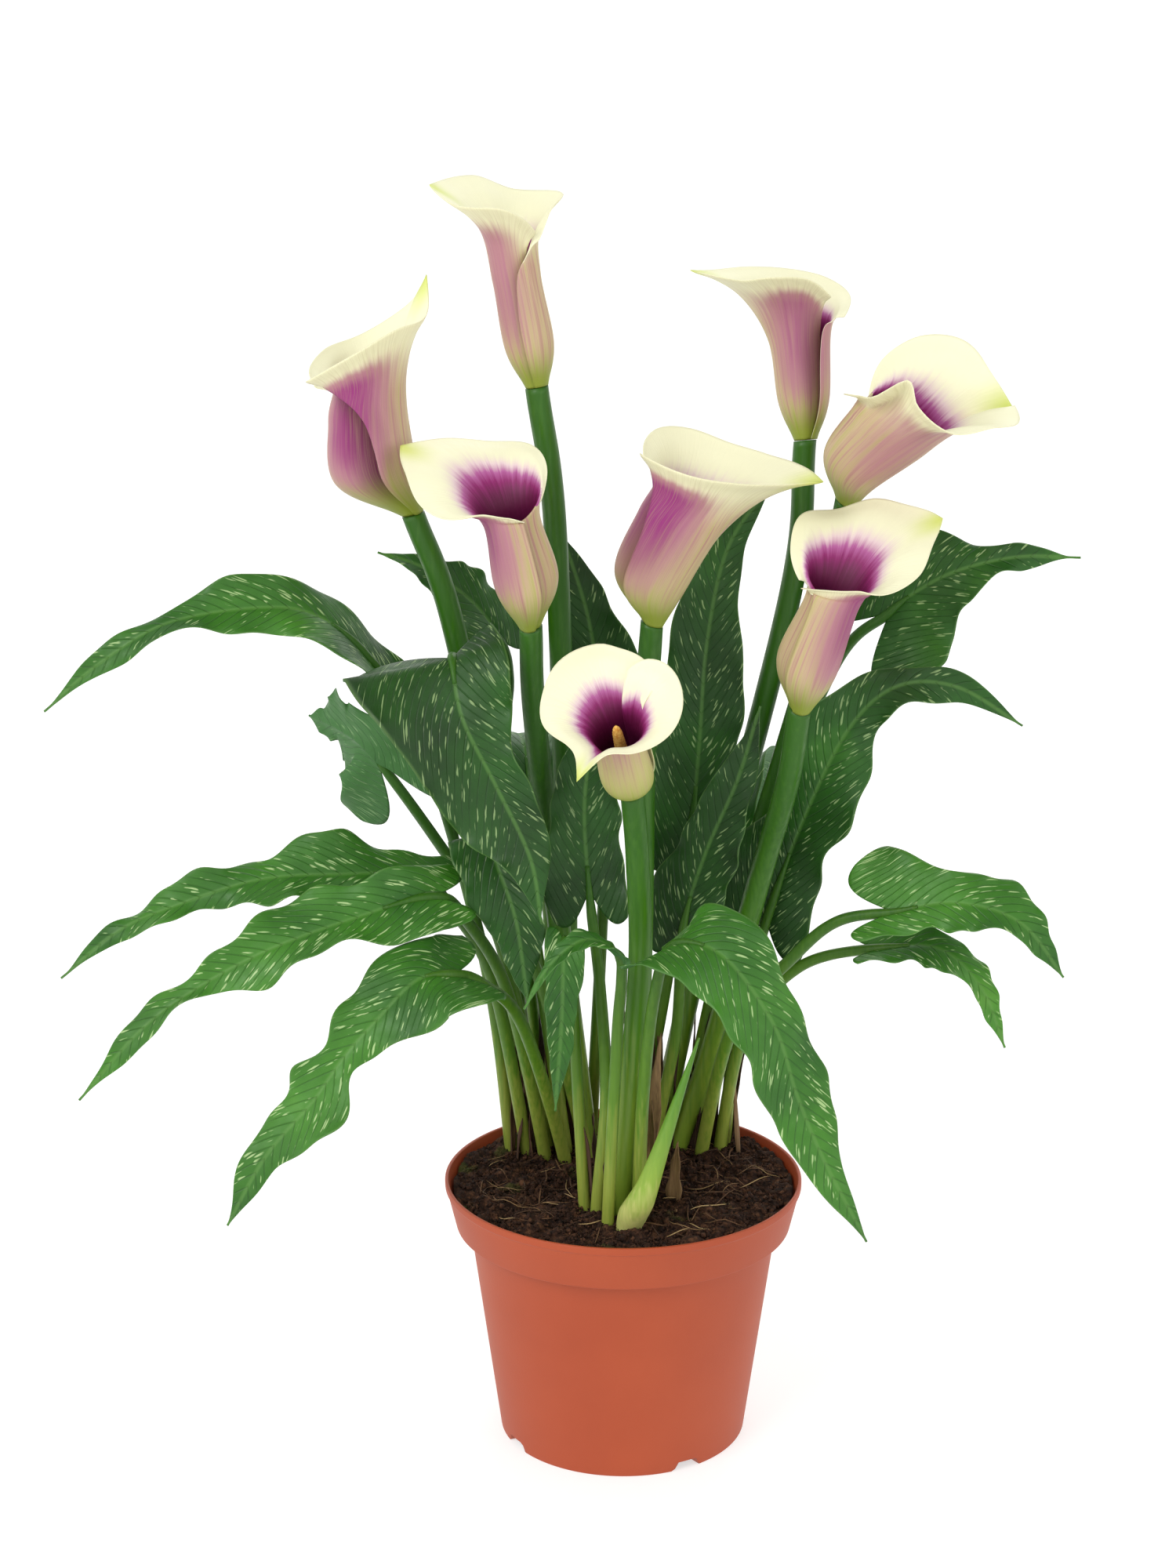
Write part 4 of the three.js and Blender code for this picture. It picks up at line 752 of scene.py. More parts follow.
def blade_surface(leaf, points):
    """The blade's middle surface, and how far along and across it each point is, in mm.

    Each point starts on the midrib, at its share of the length less the lobe's reach back. It moves sideways
    by the half width, and up by the fold, the wave and the frill of the edge. The half width is the product
    of the taper to the tip, the swell at the neck, the waist, the flap and the in and out of the edge. The
    taper is what is left of the length, to a power that grows towards the tip.
    """
    neck = (len(points) - len(leaf["midrib"])) / (len(points) - 1)
    share = np.linspace(neck, 1, MIDRIB_SAMPLES + 1)
    mids, _ = along_spline(points, share)
    lengths = np.concatenate([[0], np.cumsum(np.linalg.norm(np.diff(mids, axis=0), axis=1))])
    u = np.linspace(0, 1, BLADE_ROWS)[:, None]
    spread = np.linspace(-1, 1, BLADE_COLUMNS)
    v = (np.sign(spread) * np.abs(spread) ** COLUMN_POWER)[None]
    far, hand = np.abs(v), (v >= 0).astype(int)
    waist = 1 - leaf["waist"][1] * np.exp(-(((u - leaf["waist"][0]) / WAIST_SPAN) ** 2))
    swell = 1 - NECK_NARROW * (1 - np.sin(np.minimum(1, u / NECK_SPAN) * np.pi / 2))
    depth, count, shift = leaf["lobes"]
    swing = 2 * np.pi * (count * u + hand * shift)
    edge = 1 + depth * (np.sin(swing) + JAG * np.sin(JAG_COUNT * swing + 2 * hand) * smooth(u, 0, 0.2))
    flap = 1 + np.array(leaf["flap"])[hand] * np.exp(-((u / NECK_SPAN) ** 4))
    taper = leaf["taper"] + TIP_SHARPNESS * u**4
    outline = swell * (1 - u) ** taper * waist * flap * edge
    width = np.maximum(TIP_HALF_WIDTH, np.array(leaf["half"])[hand] * outline)
    back = leaf["lobe"] * np.sin(LOBE_BEND * far) * np.maximum(0, 1 - u / LOBE_REACH) ** 2
    s = u * lengths[-1] - back
    middle, along = along_spline(points, np.interp(s, lengths, share))
    start = along_spline(points, np.array([neck]))[1][0]
    middle = middle + np.minimum(s, 0)[..., None] * start
    side = unit(np.cross(mids[-1] - mids[0], leaf["faces"]))
    across = unit(side - along * np.sum(side * along, -1, keepdims=True))
    up = np.cross(across, along)
    fold = np.tan(np.radians(leaf["fold"][0] + (leaf["fold"][1] - leaf["fold"][0]) * u))
    height, waves, phase = leaf["wave"]
    turns = 2 * np.pi * (waves * u + phase) + hand * WAVE_SHIFT
    ripple = height * far**WAVE_POWER * np.sin(turns)
    frill = FRILL * far**5 * np.sin(2 * np.pi * FRILL_COUNT * u + 3 * phase + 4 * hand + sum(leaf["place"]))
    frill = frill * np.minimum(1, width / FRILL_FULL_WIDTH)
    lift = far * width * fold + (ripple + frill) * smooth(1 - u, 0, WAVE_END)
    surface = middle + across * (v * width)[..., None] + up * lift[..., None]
    return surface, s, v * width, v + 0 * u, u + 0 * v


def leaf_blocks(leaf, number):
    """The blade as a closed sheet and the petiole as a rod, with the values that their material reads."""
    points = stem_points(leaf["tuber"], leaf["place"], [*leaf["route"], *leaf["midrib"]])
    surface, s, sideways, v, u = blade_surface(leaf, points)
    rib = np.exp(-((sideways / KEEL_WIDTH) ** 2))
    half = (BLADE_THICKNESS - (BLADE_THICKNESS - BLADE_EDGE) * np.abs(v) ** 6) / 2
    solid, faces = both_faces(surface, half - GROOVE * rib * (1 - u), half + KEEL * rib * (1 - u) ** 0.8)
    away = np.abs(sideways)
    widest = max(leaf["half"])
    vein = s - VEIN_SLOPE * away - VEIN_BEND * away**2 / widest
    block = {"vein": twice(vein), "away": twice(away), "edge": twice(np.abs(v)),
             "under": np.repeat([0.0, 1.0], v.size), "seed": twice((v > 0) * 40.0) + 83.0 * number,
             "tint": leaf["tint"], "blade": 1.0}
    neck = (len(points) - len(leaf["midrib"])) / (len(points) - 1)
    t = np.linspace(0, 1, PETIOLE_ROWS)
    centres, directions = along_spline(points, t * (neck + (1 - neck) * MIDRIB_END))
    radii = leaf["petiole"] + (PETIOLE_NECK - leaf["petiole"]) * t**PETIOLE_THINNING
    radii = radii * (1 - (1 - PETIOLE_END[1]) * smooth(t, PETIOLE_END[0], 1))
    stem, stem_faces = rod(centres, directions, radii, PETIOLE_SIDES)
    bare = dict.fromkeys(block, 0.0) | {"tint": leaf["tint"]}
    return [(solid, faces, block), (stem, stem_faces, bare)]


def maths(tree, operation, *values):
    """A Math node's output."""
    return node(tree, "Math", dict(enumerate(values)), operation=operation).outputs[0]


def stepped(tree, value, low, high, least=0.0, most=1.0):
    """A smooth step of value from low to high, as a number from least to most."""
    return node(tree, "MapRange", {0: value, 1: low, 2: high, 3: least, 4: most},
                interpolation_type="SMOOTHSTEP").outputs[0]


# Fibres run the length of petioles, stalks, sheaths and sprout: noise that is stretched upwards
fibres = bpy.data.node_groups.new("upright_fibres", "ShaderNodeTree")
fibres.interface.new_socket("Place", in_out="INPUT", socket_type="NodeSocketVector")
fibres.interface.new_socket("Across", in_out="INPUT", socket_type="NodeSocketFloat")
fibres.interface.new_socket("Along", in_out="INPUT", socket_type="NodeSocketFloat")
fibres.interface.new_socket("Streak", in_out="OUTPUT", socket_type="NodeSocketFloat")
entry = fibres.nodes.new("NodeGroupInput").outputs
stretch = node(fibres, "CombineXYZ", {0: entry["Across"], 1: entry["Across"], 2: entry["Along"]}).outputs[0]
stretched = node(fibres, "VectorMath", {0: entry["Place"], 1: stretch}, operation="MULTIPLY").outputs[0]
fibres.links.new(noise(fibres, stretched, 1, 2), fibres.nodes.new("NodeGroupOutput").inputs["Streak"])


def fibre_streaks(tree, place, across, along):
    """The fibres of a stem: noise from 0 to 1, with so many clouds to the metre across it and along it."""
    inputs = {"Place": place, "Across": across, "Along": along}
    return node(tree, "Group", inputs, node_tree=fibres).outputs["Streak"]


leaf_skin, tree, shader = finish_material("leaf_skin", Specular_IOR_Level=0.35)
place = node(tree, "TexCoord").outputs["Object"]
vein, away, edge = read(tree, "vein"), read(tree, "away"), read(tree, "edge")
under, blade, tint, seed = (read(tree, key) for key in ("under", "blade", "tint", "seed"))
mottle = noise(tree, place, 190, 3)
tone = maths(tree, "ADD", tint, maths(tree, "MULTIPLY_ADD", noise(tree, place, 26, 3), 0.9, -0.45))
top_green = ramp(tree, tone, (0.0, srgb(18, 50, 8)), (1.0, srgb(114, 168, 64)), (0.35, srgb(36, 88, 18)),
                 (0.7, srgb(68, 130, 34)))
flat = node(tree, "CombineXYZ", {
    0: maths(tree, "MULTIPLY", vein, 0.4),
    1: maths(tree, "MULTIPLY", away, 0.26),
    2: seed,
}).outputs[0]
wobble = node(tree, "TexNoise", {"Vector": flat, "Scale": 1.4, "Detail": 1}).outputs["Color"]
bent = node(tree, "VectorMath", {0: flat, 1: wobble}, operation="ADD").outputs[0]
flecks = node(tree, "TexVoronoi", {"Vector": bent, "Scale": 1.0, "Randomness": 1.0})
lot = node(tree, "SeparateColor", {0: flecks.outputs["Color"]}).outputs[0]
reach = stepped(tree, lot, 0.1, 1.0, 0.02, 0.38)
fleck = stepped(tree, maths(tree, "SUBTRACT", reach, flecks.outputs["Distance"]), -0.05, 0.1)
fleck = maths(tree, "MULTIPLY", fleck, maths(tree, "MULTIPLY", blade, stepped(tree, away, 1.2, 3.0)))
side_vein = stepped(tree, maths(tree, "PINGPONG", vein, 3.6), 0.0, 0.9, 1.0, 0.0)
side_vein = maths(tree, "MULTIPLY", side_vein, stepped(tree, edge, 1.0, 0.6))
midrib = maths(tree, "MULTIPLY", stepped(tree, away, 1.4, 0.3), blade)
green = blended(tree, maths(tree, "MULTIPLY", side_vein, 0.35), top_green, srgb(18, 50, 12))
green = blended(tree, maths(tree, "MULTIPLY", mottle, 0.25), green, srgb(24, 68, 16))
green = blended(tree, maths(tree, "MULTIPLY", midrib, 0.4), green, srgb(96, 142, 66))
green = blended(tree, stepped(tree, edge, 0.95, 1.0, 0.0, 0.35), green, srgb(112, 152, 80))
fleck_strength = stepped(tree, tint, 0.1, 0.6, 0.42, 0.75)
green = blended(tree, maths(tree, "MULTIPLY", fleck, fleck_strength), green, srgb(178, 206, 142))
pale = blended(tree, maths(tree, "MULTIPLY", fleck, 0.4), srgb(56, 104, 48), srgb(150, 182, 128))
pale = blended(tree, maths(tree, "MULTIPLY", side_vein, 0.3), pale, srgb(44, 88, 40))
blade_colour = blended(tree, under, green, pale)
rise = stepped(tree, node(tree, "SeparateXYZ", {0: place}).outputs[2], 0.12, 0.3)
streak = fibre_streaks(tree, place, 700, 40)
stem_tone = maths(tree, "ADD", rise, maths(tree, "MULTIPLY_ADD", streak, 0.5, -0.25))
stem_green = ramp(tree, stem_tone, (0.0, srgb(140, 152, 60)), (1.0, srgb(44, 90, 12)),
                  (0.3, srgb(84, 124, 26)))
colour = blended(tree, blade, stem_green, blade_colour)
tree.links.new(colour, shader.inputs["Base Color"])
tree.links.new(stepped(tree, mottle, 0.2, 0.8, 0.36, 0.56), shader.inputs["Roughness"])
relief = maths(tree, "MULTIPLY_ADD", side_vein, -1.0, maths(tree, "MULTIPLY", mottle, 0.5))
emboss(tree, shader, relief, 0.45, 0.0006)

for number, (leaf_name, given) in enumerate(LEAVES.items()):
    leaf_piece = make_mesh("green_" + leaf_name, leaf_blocks({**USUAL_LEAF, **given}, number), leaf_skin)
    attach(leaf_piece, "root")
    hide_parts(leaf_name)


# Dry sheaths: brown papery remains of old leaf bases, and partly painted shade: they are more, taller and
# darker than the real ones, so that they fill the shadowed gaps between the stems. Each is a thin strip,
# cupped and pointed, that stands in the peat among the feet of the stems round one of the tubers.
SHEATHS = 62
SHEATH_TUBERS = (0, 2, 0, 2, 1)
SHEATH_FOOT = 121
SHEATH_CUP = 1.6
SHEATH_CRINKLE = 0.8
SHEATH_POINTS = 12
SHEATH_ACROSS = 5
SHEATH_THICKNESS = 0.4

sheath_and_shade_skin, tree, shader = finish_material("dry_sheath_and_painted_shade", Roughness=0.85)
streak = fibre_streaks(tree, node(tree, "TexCoord").outputs["Object"], 900, 60)
shade = maths(tree, "MULTIPLY", read(tree, "shade"), 0.7)
tone = maths(tree, "MULTIPLY_ADD", streak, 0.4, shade)
# The dark end of this brown is partly painted shade, for the shadow that lies between the stems
papery = ramp(tree, tone, (0.2, srgb(36, 22, 14)), (1.0, srgb(150, 120, 78)), (0.7, srgb(74, 48, 30)))
tree.links.new(papery, shader.inputs["Base Color"])

rise = np.linspace(0, 1, SHEATH_POINTS)[:, None]
spread = np.linspace(-1, 1, SHEATH_ACROSS)[None]
hearts = np.array(list(TUBERS.values()), float)
sheath_blocks = []
# More and taller strips than the real sheaths alone, so that dark painted shade fills the gaps between the
# stems
for number in range(SHEATHS):
    heart = hearts[SHEATH_TUBERS[number % len(SHEATH_TUBERS)]]
    angle, away = draws.uniform(0.15, 3.6), draws.uniform(4, 29)
    tall, wide, lean = draws.uniform(14, 84), draws.uniform(2.4, 5.2), draws.uniform(-0.1, 0.24)
    facing = angle + draws.uniform(-0.6, 0.6)
    reach = away + lean * tall * rise**1.5
    bulge = (SHEATH_CUP * (1 - spread**2) * (1 - 0.6 * rise)
             + SHEATH_CRINKLE * np.sin(9 * rise + number) * spread)
    shift = wide * spread * (1 - rise**3) * (0.8 + 0.2 * np.sin(14 * rise + 3 * number))
    x = heart[0] + reach * np.cos(angle) + bulge * np.cos(facing) - shift * np.sin(facing)
    y = heart[1] + reach * np.sin(angle) + bulge * np.sin(facing) + shift * np.cos(facing)
    level = SHEATH_FOOT + tall * rise * (1 - 0.12 * spread * np.cos(number))
    strip = np.stack([x, y, level + 0 * x], -1)
    half = np.full(strip.shape[:2], SHEATH_THICKNESS / 2)
    sheath_blocks.append((*both_faces(strip, half, half), {"shade": draws.uniform(0, 1)}))
sheaths = make_mesh("dry_sheaths_and_painted_shade", sheath_blocks, sheath_and_shade_skin)
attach(sheaths, "root")


# Blooms: a smooth round green stalk carries one spathe, a thick petal-like sheet rolled into a trumpet, whose
# outer margin laps its inner one. The spathe is cream with a purple throat and a yellow-green point. In its
# foot stands the spadix, an upright yellow spike of small flowers.
STALK_FOOT = 5.5
STALK_NECK = 5.3
STALK_SIDES = 28
STALK_ROWS = 90
JOINT_GAP = 0.35
SPATHE_THICKNESS = 0.9
SPATHE_EDGE = 0.4
SPATHE_FOOT = 4.5
SPATHE_STEPS = 72
SPATHE_COLUMNS = 97
LAYERS = (0.75, 1.2)
ROLL = 1.5
ROLL_FROM = 0.86
ROLL_POWER = 1.5
BELLY_SHARES = (0, 1, 0.6, 0.12, 0)
OVERLAP_PLACE = (0.45, 0.78)
OVERLAP_END = 0.12
LAP_FROM = 0.3
CURL_PLACE = 0.72
CURL_RISE = 1.15
CURL_POWER = 0.8
FOOT_SHARE = 0.06
MARGIN_POWER = 12
FLUSH_WIDTH = 58
# How far round, in degrees, the painted shade beside the seam fades out
SEAM_SHADE_WIDTH = 50
TIP_WIDTH = 9
USUAL_YOUNG = dict(young=0)

# Each bloom: where its stalk stands and runs, the top of the stalk, the way the rolled tube leans, and
# the side that its pointed tip is on. Its tube is (radius low down, radius at the throat, height of the
# throat), with its belly's place up it and how far that hangs out away from the tip. Its margins lap each
# other by an angle at the stalk, and that seam winds from its place there by the twist to its place in
# the rim. The rim is a list of (angle round from the tip, distance from the axis, height), with the point
# of the tip added as (out, up) and spread over an angle. The limb arches between throat and rim. Outside,
# a purple flush lies at an angle round from the tip, painted shade in deep maroon darkens the inner margin
# where it runs under the outer one, and a young tube is greener.
BLOOMS = {
    "left": dict(
        tuber="tuber_left", place=(-45, 47), route=[(-64, 32, 300), (-80, 18, 396)],
        top=(-96, 10, 445), leans=(-25, -2, 90), tip=(1, 0.2, 0), tube=(18.5, 18, 50),
        lower_at=0.45, belly=11, lap=28, twist=100, curl=3, hand=-1, point=(5, 17), spread=18,
        arch=0.12,
        rim=[
            (-158, 29.5, 72.5), (-104, 26.5, 79.5), (-63, 29.5, 84), (-35, 31, 82), (-8, 30, 82.5),
            (21, 29.5, 86.5), (85, 26, 80.5), (132, 23, 80), (174, 26, 74.5), (196, 27, 68.5),
        ],
        flush=1.0, flush_at=-125, seam=1.0,
    ),
    "top": dict(
        tuber="tuber_left", place=(-29, 49), route=[(-28, 46, 270), (-32, 24, 434)],
        top=(-40, 15, 502), leans=(-17, 0, 90), tip=(-1, 0.1, 0), tube=(10.3, 10, 48),
        lower_at=0.38, belly=0, lap=28, twist=-25, curl=1.5, hand=-1, point=(3, 2), spread=23,
        arch=0.15,
        rim=[
            (-216, 16.5, 65), (-189, 20, 76.5), (-158, 26, 81), (-96, 27.5, 85.5), (-59, 25.5, 95),
            (-1, 25.5, 94), (46, 23, 86), (95, 24, 82), (120, 22, 75.5), (141, 18.5, 68),
        ],
        flush=0.5, flush_at=60, seam=0.1,
    ),
    "left_middle": dict(
        tuber="tuber_left", place=(-18, 41), route=[(-32, 32, 250), (-41, -6, 355)],
        top=(-42, -22, 400), leans=(-12, -21, 70), tip=(-0.7, 0.5, 0), tube=(14, 12.5, 54),
        lower_at=0.42, belly=3, lap=23, twist=-67, curl=0, hand=1, point=(4, 2), spread=11,
        arch=0.15,
        rim=[
            (-126, 15.5, 58), (-105, 25, 67), (-76, 36.5, 72), (-47, 44.5, 72.5),
            (-22, 51.5, 77.5), (1, 48.5, 81.5), (26, 40, 80.5), (53, 35.5, 72.5), (70, 29.5, 68),
            (92, 17, 66), (130, 13, 62), (155, 13, 58),
        ],
        flush=0.8, flush_at=70, seam=0.3,
    ),
    "right_top": dict(
        tuber="tuber_right", place=(18, 52), route=[(38, 53, 229), (77, 42, 402)],
        top=(82, 35, 475), leans=(-7, 14, 74), tip=(-1, 0.1, 0), tube=(10.3, 12.5, 46),
        lower_at=0.38, belly=0, lap=23, twist=0, curl=5, hand=-1, point=(8, 2), spread=11,
        arch=0.12,
        rim=[
            (-200, 22, 54), (-163, 24, 65), (-117, 22.5, 76), (-49, 27.5, 82.5), (7, 37, 79.5),
            (51, 32, 73), (77, 32.5, 72.5), (106, 29, 70.5), (135, 25, 62.5),
        ],
        flush=0.7, flush_at=95, seam=0.5,
    ),
    "centre": dict(
        tuber="tuber_front", place=(5, -23), route=[(8, -10, 252), (9, -2, 343)],
        top=(12, -15, 400), leans=(28, -6, 81), tip=(1, -0.1, 0), tube=(16, 18.5, 46),
        lower_at=0.36, belly=8, lap=28, twist=65, curl=3, hand=-1, point=(18, 2), spread=17,
        arch=0.12,
        rim=[
            (-150, 32.5, 75), (-108, 28, 75.5), (-69, 23.5, 77), (-17, 25.5, 81), (10, 32, 87.5),
            (48, 30.5, 85), (81, 28.5, 83), (118, 29.5, 83.5), (152, 30.5, 81.5),
            (177, 30.5, 76.5), (196, 29.5, 72),
        ],
        flush=1.15, flush_at=-130, seam=0.8, young=0.35,
    ),
    "right_upper": dict(
        tuber="tuber_right", place=(32, 50), route=[(51, 46, 230), (92, 34, 390)],
        top=(100, 22, 449), leans=(32, -20, 48), tip=(0.95, 0.1, 0), tube=(13.5, 18, 40),
        lower_at=0.4, belly=8, lap=23, twist=0, curl=0, hand=-1, point=(15, -9), spread=11,
        arch=0.12,
        rim=[
            (-190, 30, 46), (-168, 29, 54), (-152, 31, 61), (-138, 31.5, 78), (-120, 34, 73),
            (-92, 39.5, 73.5), (-68, 38, 82), (-42, 37.5, 85), (-17, 29, 85.5), (20, 20.5, 85.5),
            (70, 25.5, 85), (97, 33, 74.5), (116, 32.5, 59), (138, 21, 44),
        ],
        flush=0.4, flush_at=-90, seam=0.15,
    ),
    "right_front": dict(
        tuber="tuber_right", place=(26, 38), route=[(42, 34, 176), (63, 12, 271), (74, -14, 326)],
        top=(78, -28, 364), leans=(19, -21, 70), tip=(0.7, 0.5, 0), tube=(13.5, 12, 58),
        lower_at=0.4, belly=5, lap=23, twist=70, curl=0, hand=-1, point=(4, 2), spread=11,
        arch=0.15,
        rim=[
            (-201, 16, 61.5), (-152, 14, 68), (-106, 14, 71), (-81, 22, 74), (-54, 28.5, 82),
            (-23, 32.5, 90.5), (6, 43.5, 93.5), (28, 48.5, 89.5), (43, 50.5, 86), (60, 48, 77.5),
            (84, 42, 76.5), (106, 31.5, 70.5), (138, 19, 62),
        ],
        flush=0.85, flush_at=-75, seam=0.2,
    ),
    "front": dict(
        tuber="tuber_front", place=(-2, -35), route=[(7, -40, 240), (6, -46, 298)],
        top=(3.4, -56, 333.2), leans=(-8, -27, 40), tip=(-0.51, -0.66, -0.55), tube=(11.4, 11, 36),
        lower_at=0.28, belly=0, lap=28, twist=0, curl=0, hand=-1, point=(16, -6), spread=13,
        arch=0.15,
        rim=[
            (-209, 20, 54), (-182, 25.5, 58), (-155, 32, 57), (-139, 39, 55), (-115, 41, 53),
            (-90, 36, 50), (-65, 31, 48), (-34, 21, 48), (13, 15.5, 50), (56, 20, 48),
            (100, 27, 50), (131, 31, 54), (159, 32, 58), (176, 28, 60), (191, 21, 58),
        ],
        flush=0.25, flush_at=30, seam=0.1, young=1,
    ),
}


def spathe_frame(bloom):
    """The spathe's axis, the way its tip points square to that, and the third direction."""
    up = unit(np.array(bloom["leans"], float))
    toward = np.array(bloom["tip"], float)
    toward = unit(toward - up * (toward @ up))
    return up, toward, np.cross(up, toward)


def through(x, places, values):
    """A smooth curve's value at x: between stations, the cubic with the slope from neighbour to neighbour."""
    before, after = np.append(0, np.arange(len(places) - 1)), np.append(np.arange(1, len(places)), -1)
    slopes = (values[after] - values[before]) / (places[after] - places[before])
    k = np.clip(np.searchsorted(places, x, side="right") - 1, 0, len(places) - 2)
    step = places[k + 1] - places[k]
    t = (x - places[k]) / step
    bend = slopes[k] * (t**3 - 2 * t**2 + t) + slopes[k + 1] * (t**3 - t**2)
    return values[k] + (values[k + 1] - values[k]) * (3 * t**2 - 2 * t**3) + bend * step


def spathe_surface(bloom):
    """The rolled spathe's middle surface, with each point's share up it, share round it and angle.

    Up the side it is the smooth curve through five places: the foot, the belly, the throat, the arched
    limb's middle and the rim. The rim's distance and height come from its stations round the axis, and its
    edge rolls back square to the limb's chord. Round the axis the angle, from the tip, runs from one end of
    the rim to the other. From the stalk up to there the seam winds by the twist, and the lap goes over into
    the rim's. Each margin is moved by a layer, so that the outer one clears the inner one and curls away.
    """
    up, toward, side = spathe_frame(bloom)
    u = np.linspace(0, 1, SPATHE_STEPS + 1)[:, None]
    v = np.linspace(-1, 1, SPATHE_COLUMNS)
    rim = np.array(bloom["rim"], float)
    first, last = rim[0, 0], rim[-1, 0]
    place = np.where(v < 0, -v * first, v * last)
    point = np.exp(-np.abs(place) / bloom["spread"])
    rim_radius = through(place, rim[:, 0], rim[:, 1]) + bloom["point"][0] * point
    rim_height = through(place, rim[:, 0], rim[:, 2]) + bloom["point"][1] * point
    lower, throat, throat_height = bloom["tube"]
    out, rise = rim_radius - throat, rim_height - throat_height
    flat = 0 * v
    knots = np.stack([
        np.stack([flat + SPATHE_FOOT, flat + lower, flat + throat,
                  throat + out / 2 - bloom["arch"] * rise, rim_radius]),
        np.stack([flat, flat + bloom["lower_at"] * throat_height, flat + throat_height,
                  throat_height + rise / 2 + bloom["arch"] * out, rim_height]),
        np.array(BELLY_SHARES)[:, None] * bloom["belly"] + flat,
    ], -1)
    curve, _ = along_spline(knots.reshape(5, -1), u[:, 0])
    radius, height, belly = np.moveaxis(curve.reshape(len(u), len(v), 3), -1, 0)
    roll = ROLL * smooth(u, ROLL_FROM, 1) ** ROLL_POWER / np.hypot(out, rise)
    layer = LAYERS[0] + (LAYERS[1] - LAYERS[0]) * smooth(u, 0, OVERLAP_END)
    layer = layer * smooth(np.abs(v), *OVERLAP_PLACE)
    opening = np.sin(np.pi * np.minimum(1, u * CURL_RISE)) ** CURL_POWER
    curl = bloom["curl"] * smooth(bloom["hand"] * v, CURL_PLACE, 1) * opening
    radius = radius + roll * rise + bloom["hand"] * np.sign(v) * layer + curl
    height = height - roll * out + SPATHE_THICKNESS / 2 + JOINT_GAP * smooth(u, 0, FOOT_SHARE)
    wound = smooth(u, LAP_FROM, 1)
    half = 180 + bloom["lap"] + ((last - first) / 2 - 180 - bloom["lap"]) * wound
    middle = (first + last) / 2 + bloom["twist"] * (1 - wound)
    angle = np.radians(np.where(v < 0, -v * (middle - half), v * (middle + half)))
    forward, sideways = radius * np.cos(angle) - belly, radius * np.sin(angle)
    surface = (np.array(bloom["top"], float) + up * height[..., None]
               + toward * forward[..., None] + side * sideways[..., None])
    return surface, u + 0 * v, v + 0 * u, angle


stalk_skin, tree, shader = finish_material("stalk_skin", Specular_IOR_Level=0.4)
place = node(tree, "TexCoord").outputs["Object"]
streak = fibre_streaks(tree, place, 600, 30)
rise = stepped(tree, node(tree, "SeparateXYZ", {0: place}).outputs[2], 0.12, 0.34)
tone = maths(tree, "ADD", rise, maths(tree, "MULTIPLY_ADD", streak, 0.6, -0.3))
green = ramp(tree, tone, (0.0, srgb(124, 150, 46)), (1.0, srgb(42, 92, 4)), (0.4, srgb(70, 120, 12)))
tree.links.new(green, shader.inputs["Base Color"])
tree.links.new(stepped(tree, streak, 0.3, 0.7, 0.35, 0.5), shader.inputs["Roughness"])
emboss(tree, shader, streak, 0.25, 0.0005)

spathe_skin, tree, shader = finish_material("spathe_skin", Specular_IOR_Level=0.3)
rise, throat, flush, inner = (read(tree, key) for key in ("rise", "throat", "flush", "inner"))
turned = read(tree, "turned")
broad = {0: maths(tree, "MULTIPLY", turned, 9), 1: maths(tree, "MULTIPLY", rise, 1.2)}
streaks = noise(tree, node(tree, "CombineXYZ", broad).outputs[0], 1, 3, 0.6)
fine = {0: maths(tree, "MULTIPLY", turned, 44), 1: maths(tree, "MULTIPLY", rise, 3)}
ribs = noise(tree, node(tree, "CombineXYZ", fine).outputs[0], 1, 2)
shift = maths(tree, "MULTIPLY_ADD", streaks, 0.5, -0.25)
deep = stepped(tree, maths(tree, "ADD", throat, maths(tree, "MULTIPLY", shift, 0.8)), 0.05, 1.0)
inside = ramp(tree, deep, (0.0, srgb(240, 238, 204)), (1.0, srgb(92, 14, 58)), (0.22, srgb(226, 202, 204)),
              (0.5, srgb(176, 96, 152)), (0.76, srgb(138, 36, 102)))
striped = ramp(tree, streaks, (0.32, srgb(178, 170, 106)), (0.68, srgb(174, 126, 118)),
               (0.5, srgb(196, 174, 136)))
outside = blended(tree, stepped(tree, rise, 0.55, 0.9), striped, srgb(232, 228, 190))
blush = maths(tree, "MULTIPLY_ADD", shift, 0.9, flush)
outside = blended(tree, stepped(tree, blush, 0.0, 0.5), outside, srgb(172, 118, 130))
outside = blended(tree, stepped(tree, blush, 0.4, 1.0), outside, srgb(140, 44, 110))
# Painted shade: the inner margin's outside turns deep maroon where it runs under the outer margin, the
# spathe's own purple darkened as the shadow of that fold
outside = blended(tree, read(tree, "seam_painted_shade"), outside, srgb(92, 22, 58))
outside = blended(tree, stepped(tree, ribs, 0.4, 0.75, 0.0, 0.25), outside, srgb(176, 160, 108))
young = read(tree, "young")
fresh = maths(tree, "MULTIPLY", maths(tree, "MULTIPLY", young, 0.5), stepped(tree, rise, 0.55, 0.3))
outside = blended(tree, fresh, outside, srgb(186, 190, 104))
level = maths(tree, "MULTIPLY_ADD", young, -0.08, rise)
foot = stepped(tree, maths(tree, "MULTIPLY_ADD", shift, 0.25, level), 0.3, 0.02)
outside = blended(tree, maths(tree, "MULTIPLY", foot, 0.9), outside, srgb(132, 150, 36))
colour = blended(tree, inner, outside, inside)
colour = blended(tree, read(tree, "tipped"), colour, srgb(208, 218, 110))
tree.links.new(colour, shader.inputs["Base Color"])
tree.links.new(stepped(tree, ribs, 0.3, 0.7, 0.42, 0.55), shader.inputs["Roughness"])
emboss(tree, shader, ribs, 0.3, 0.0005)

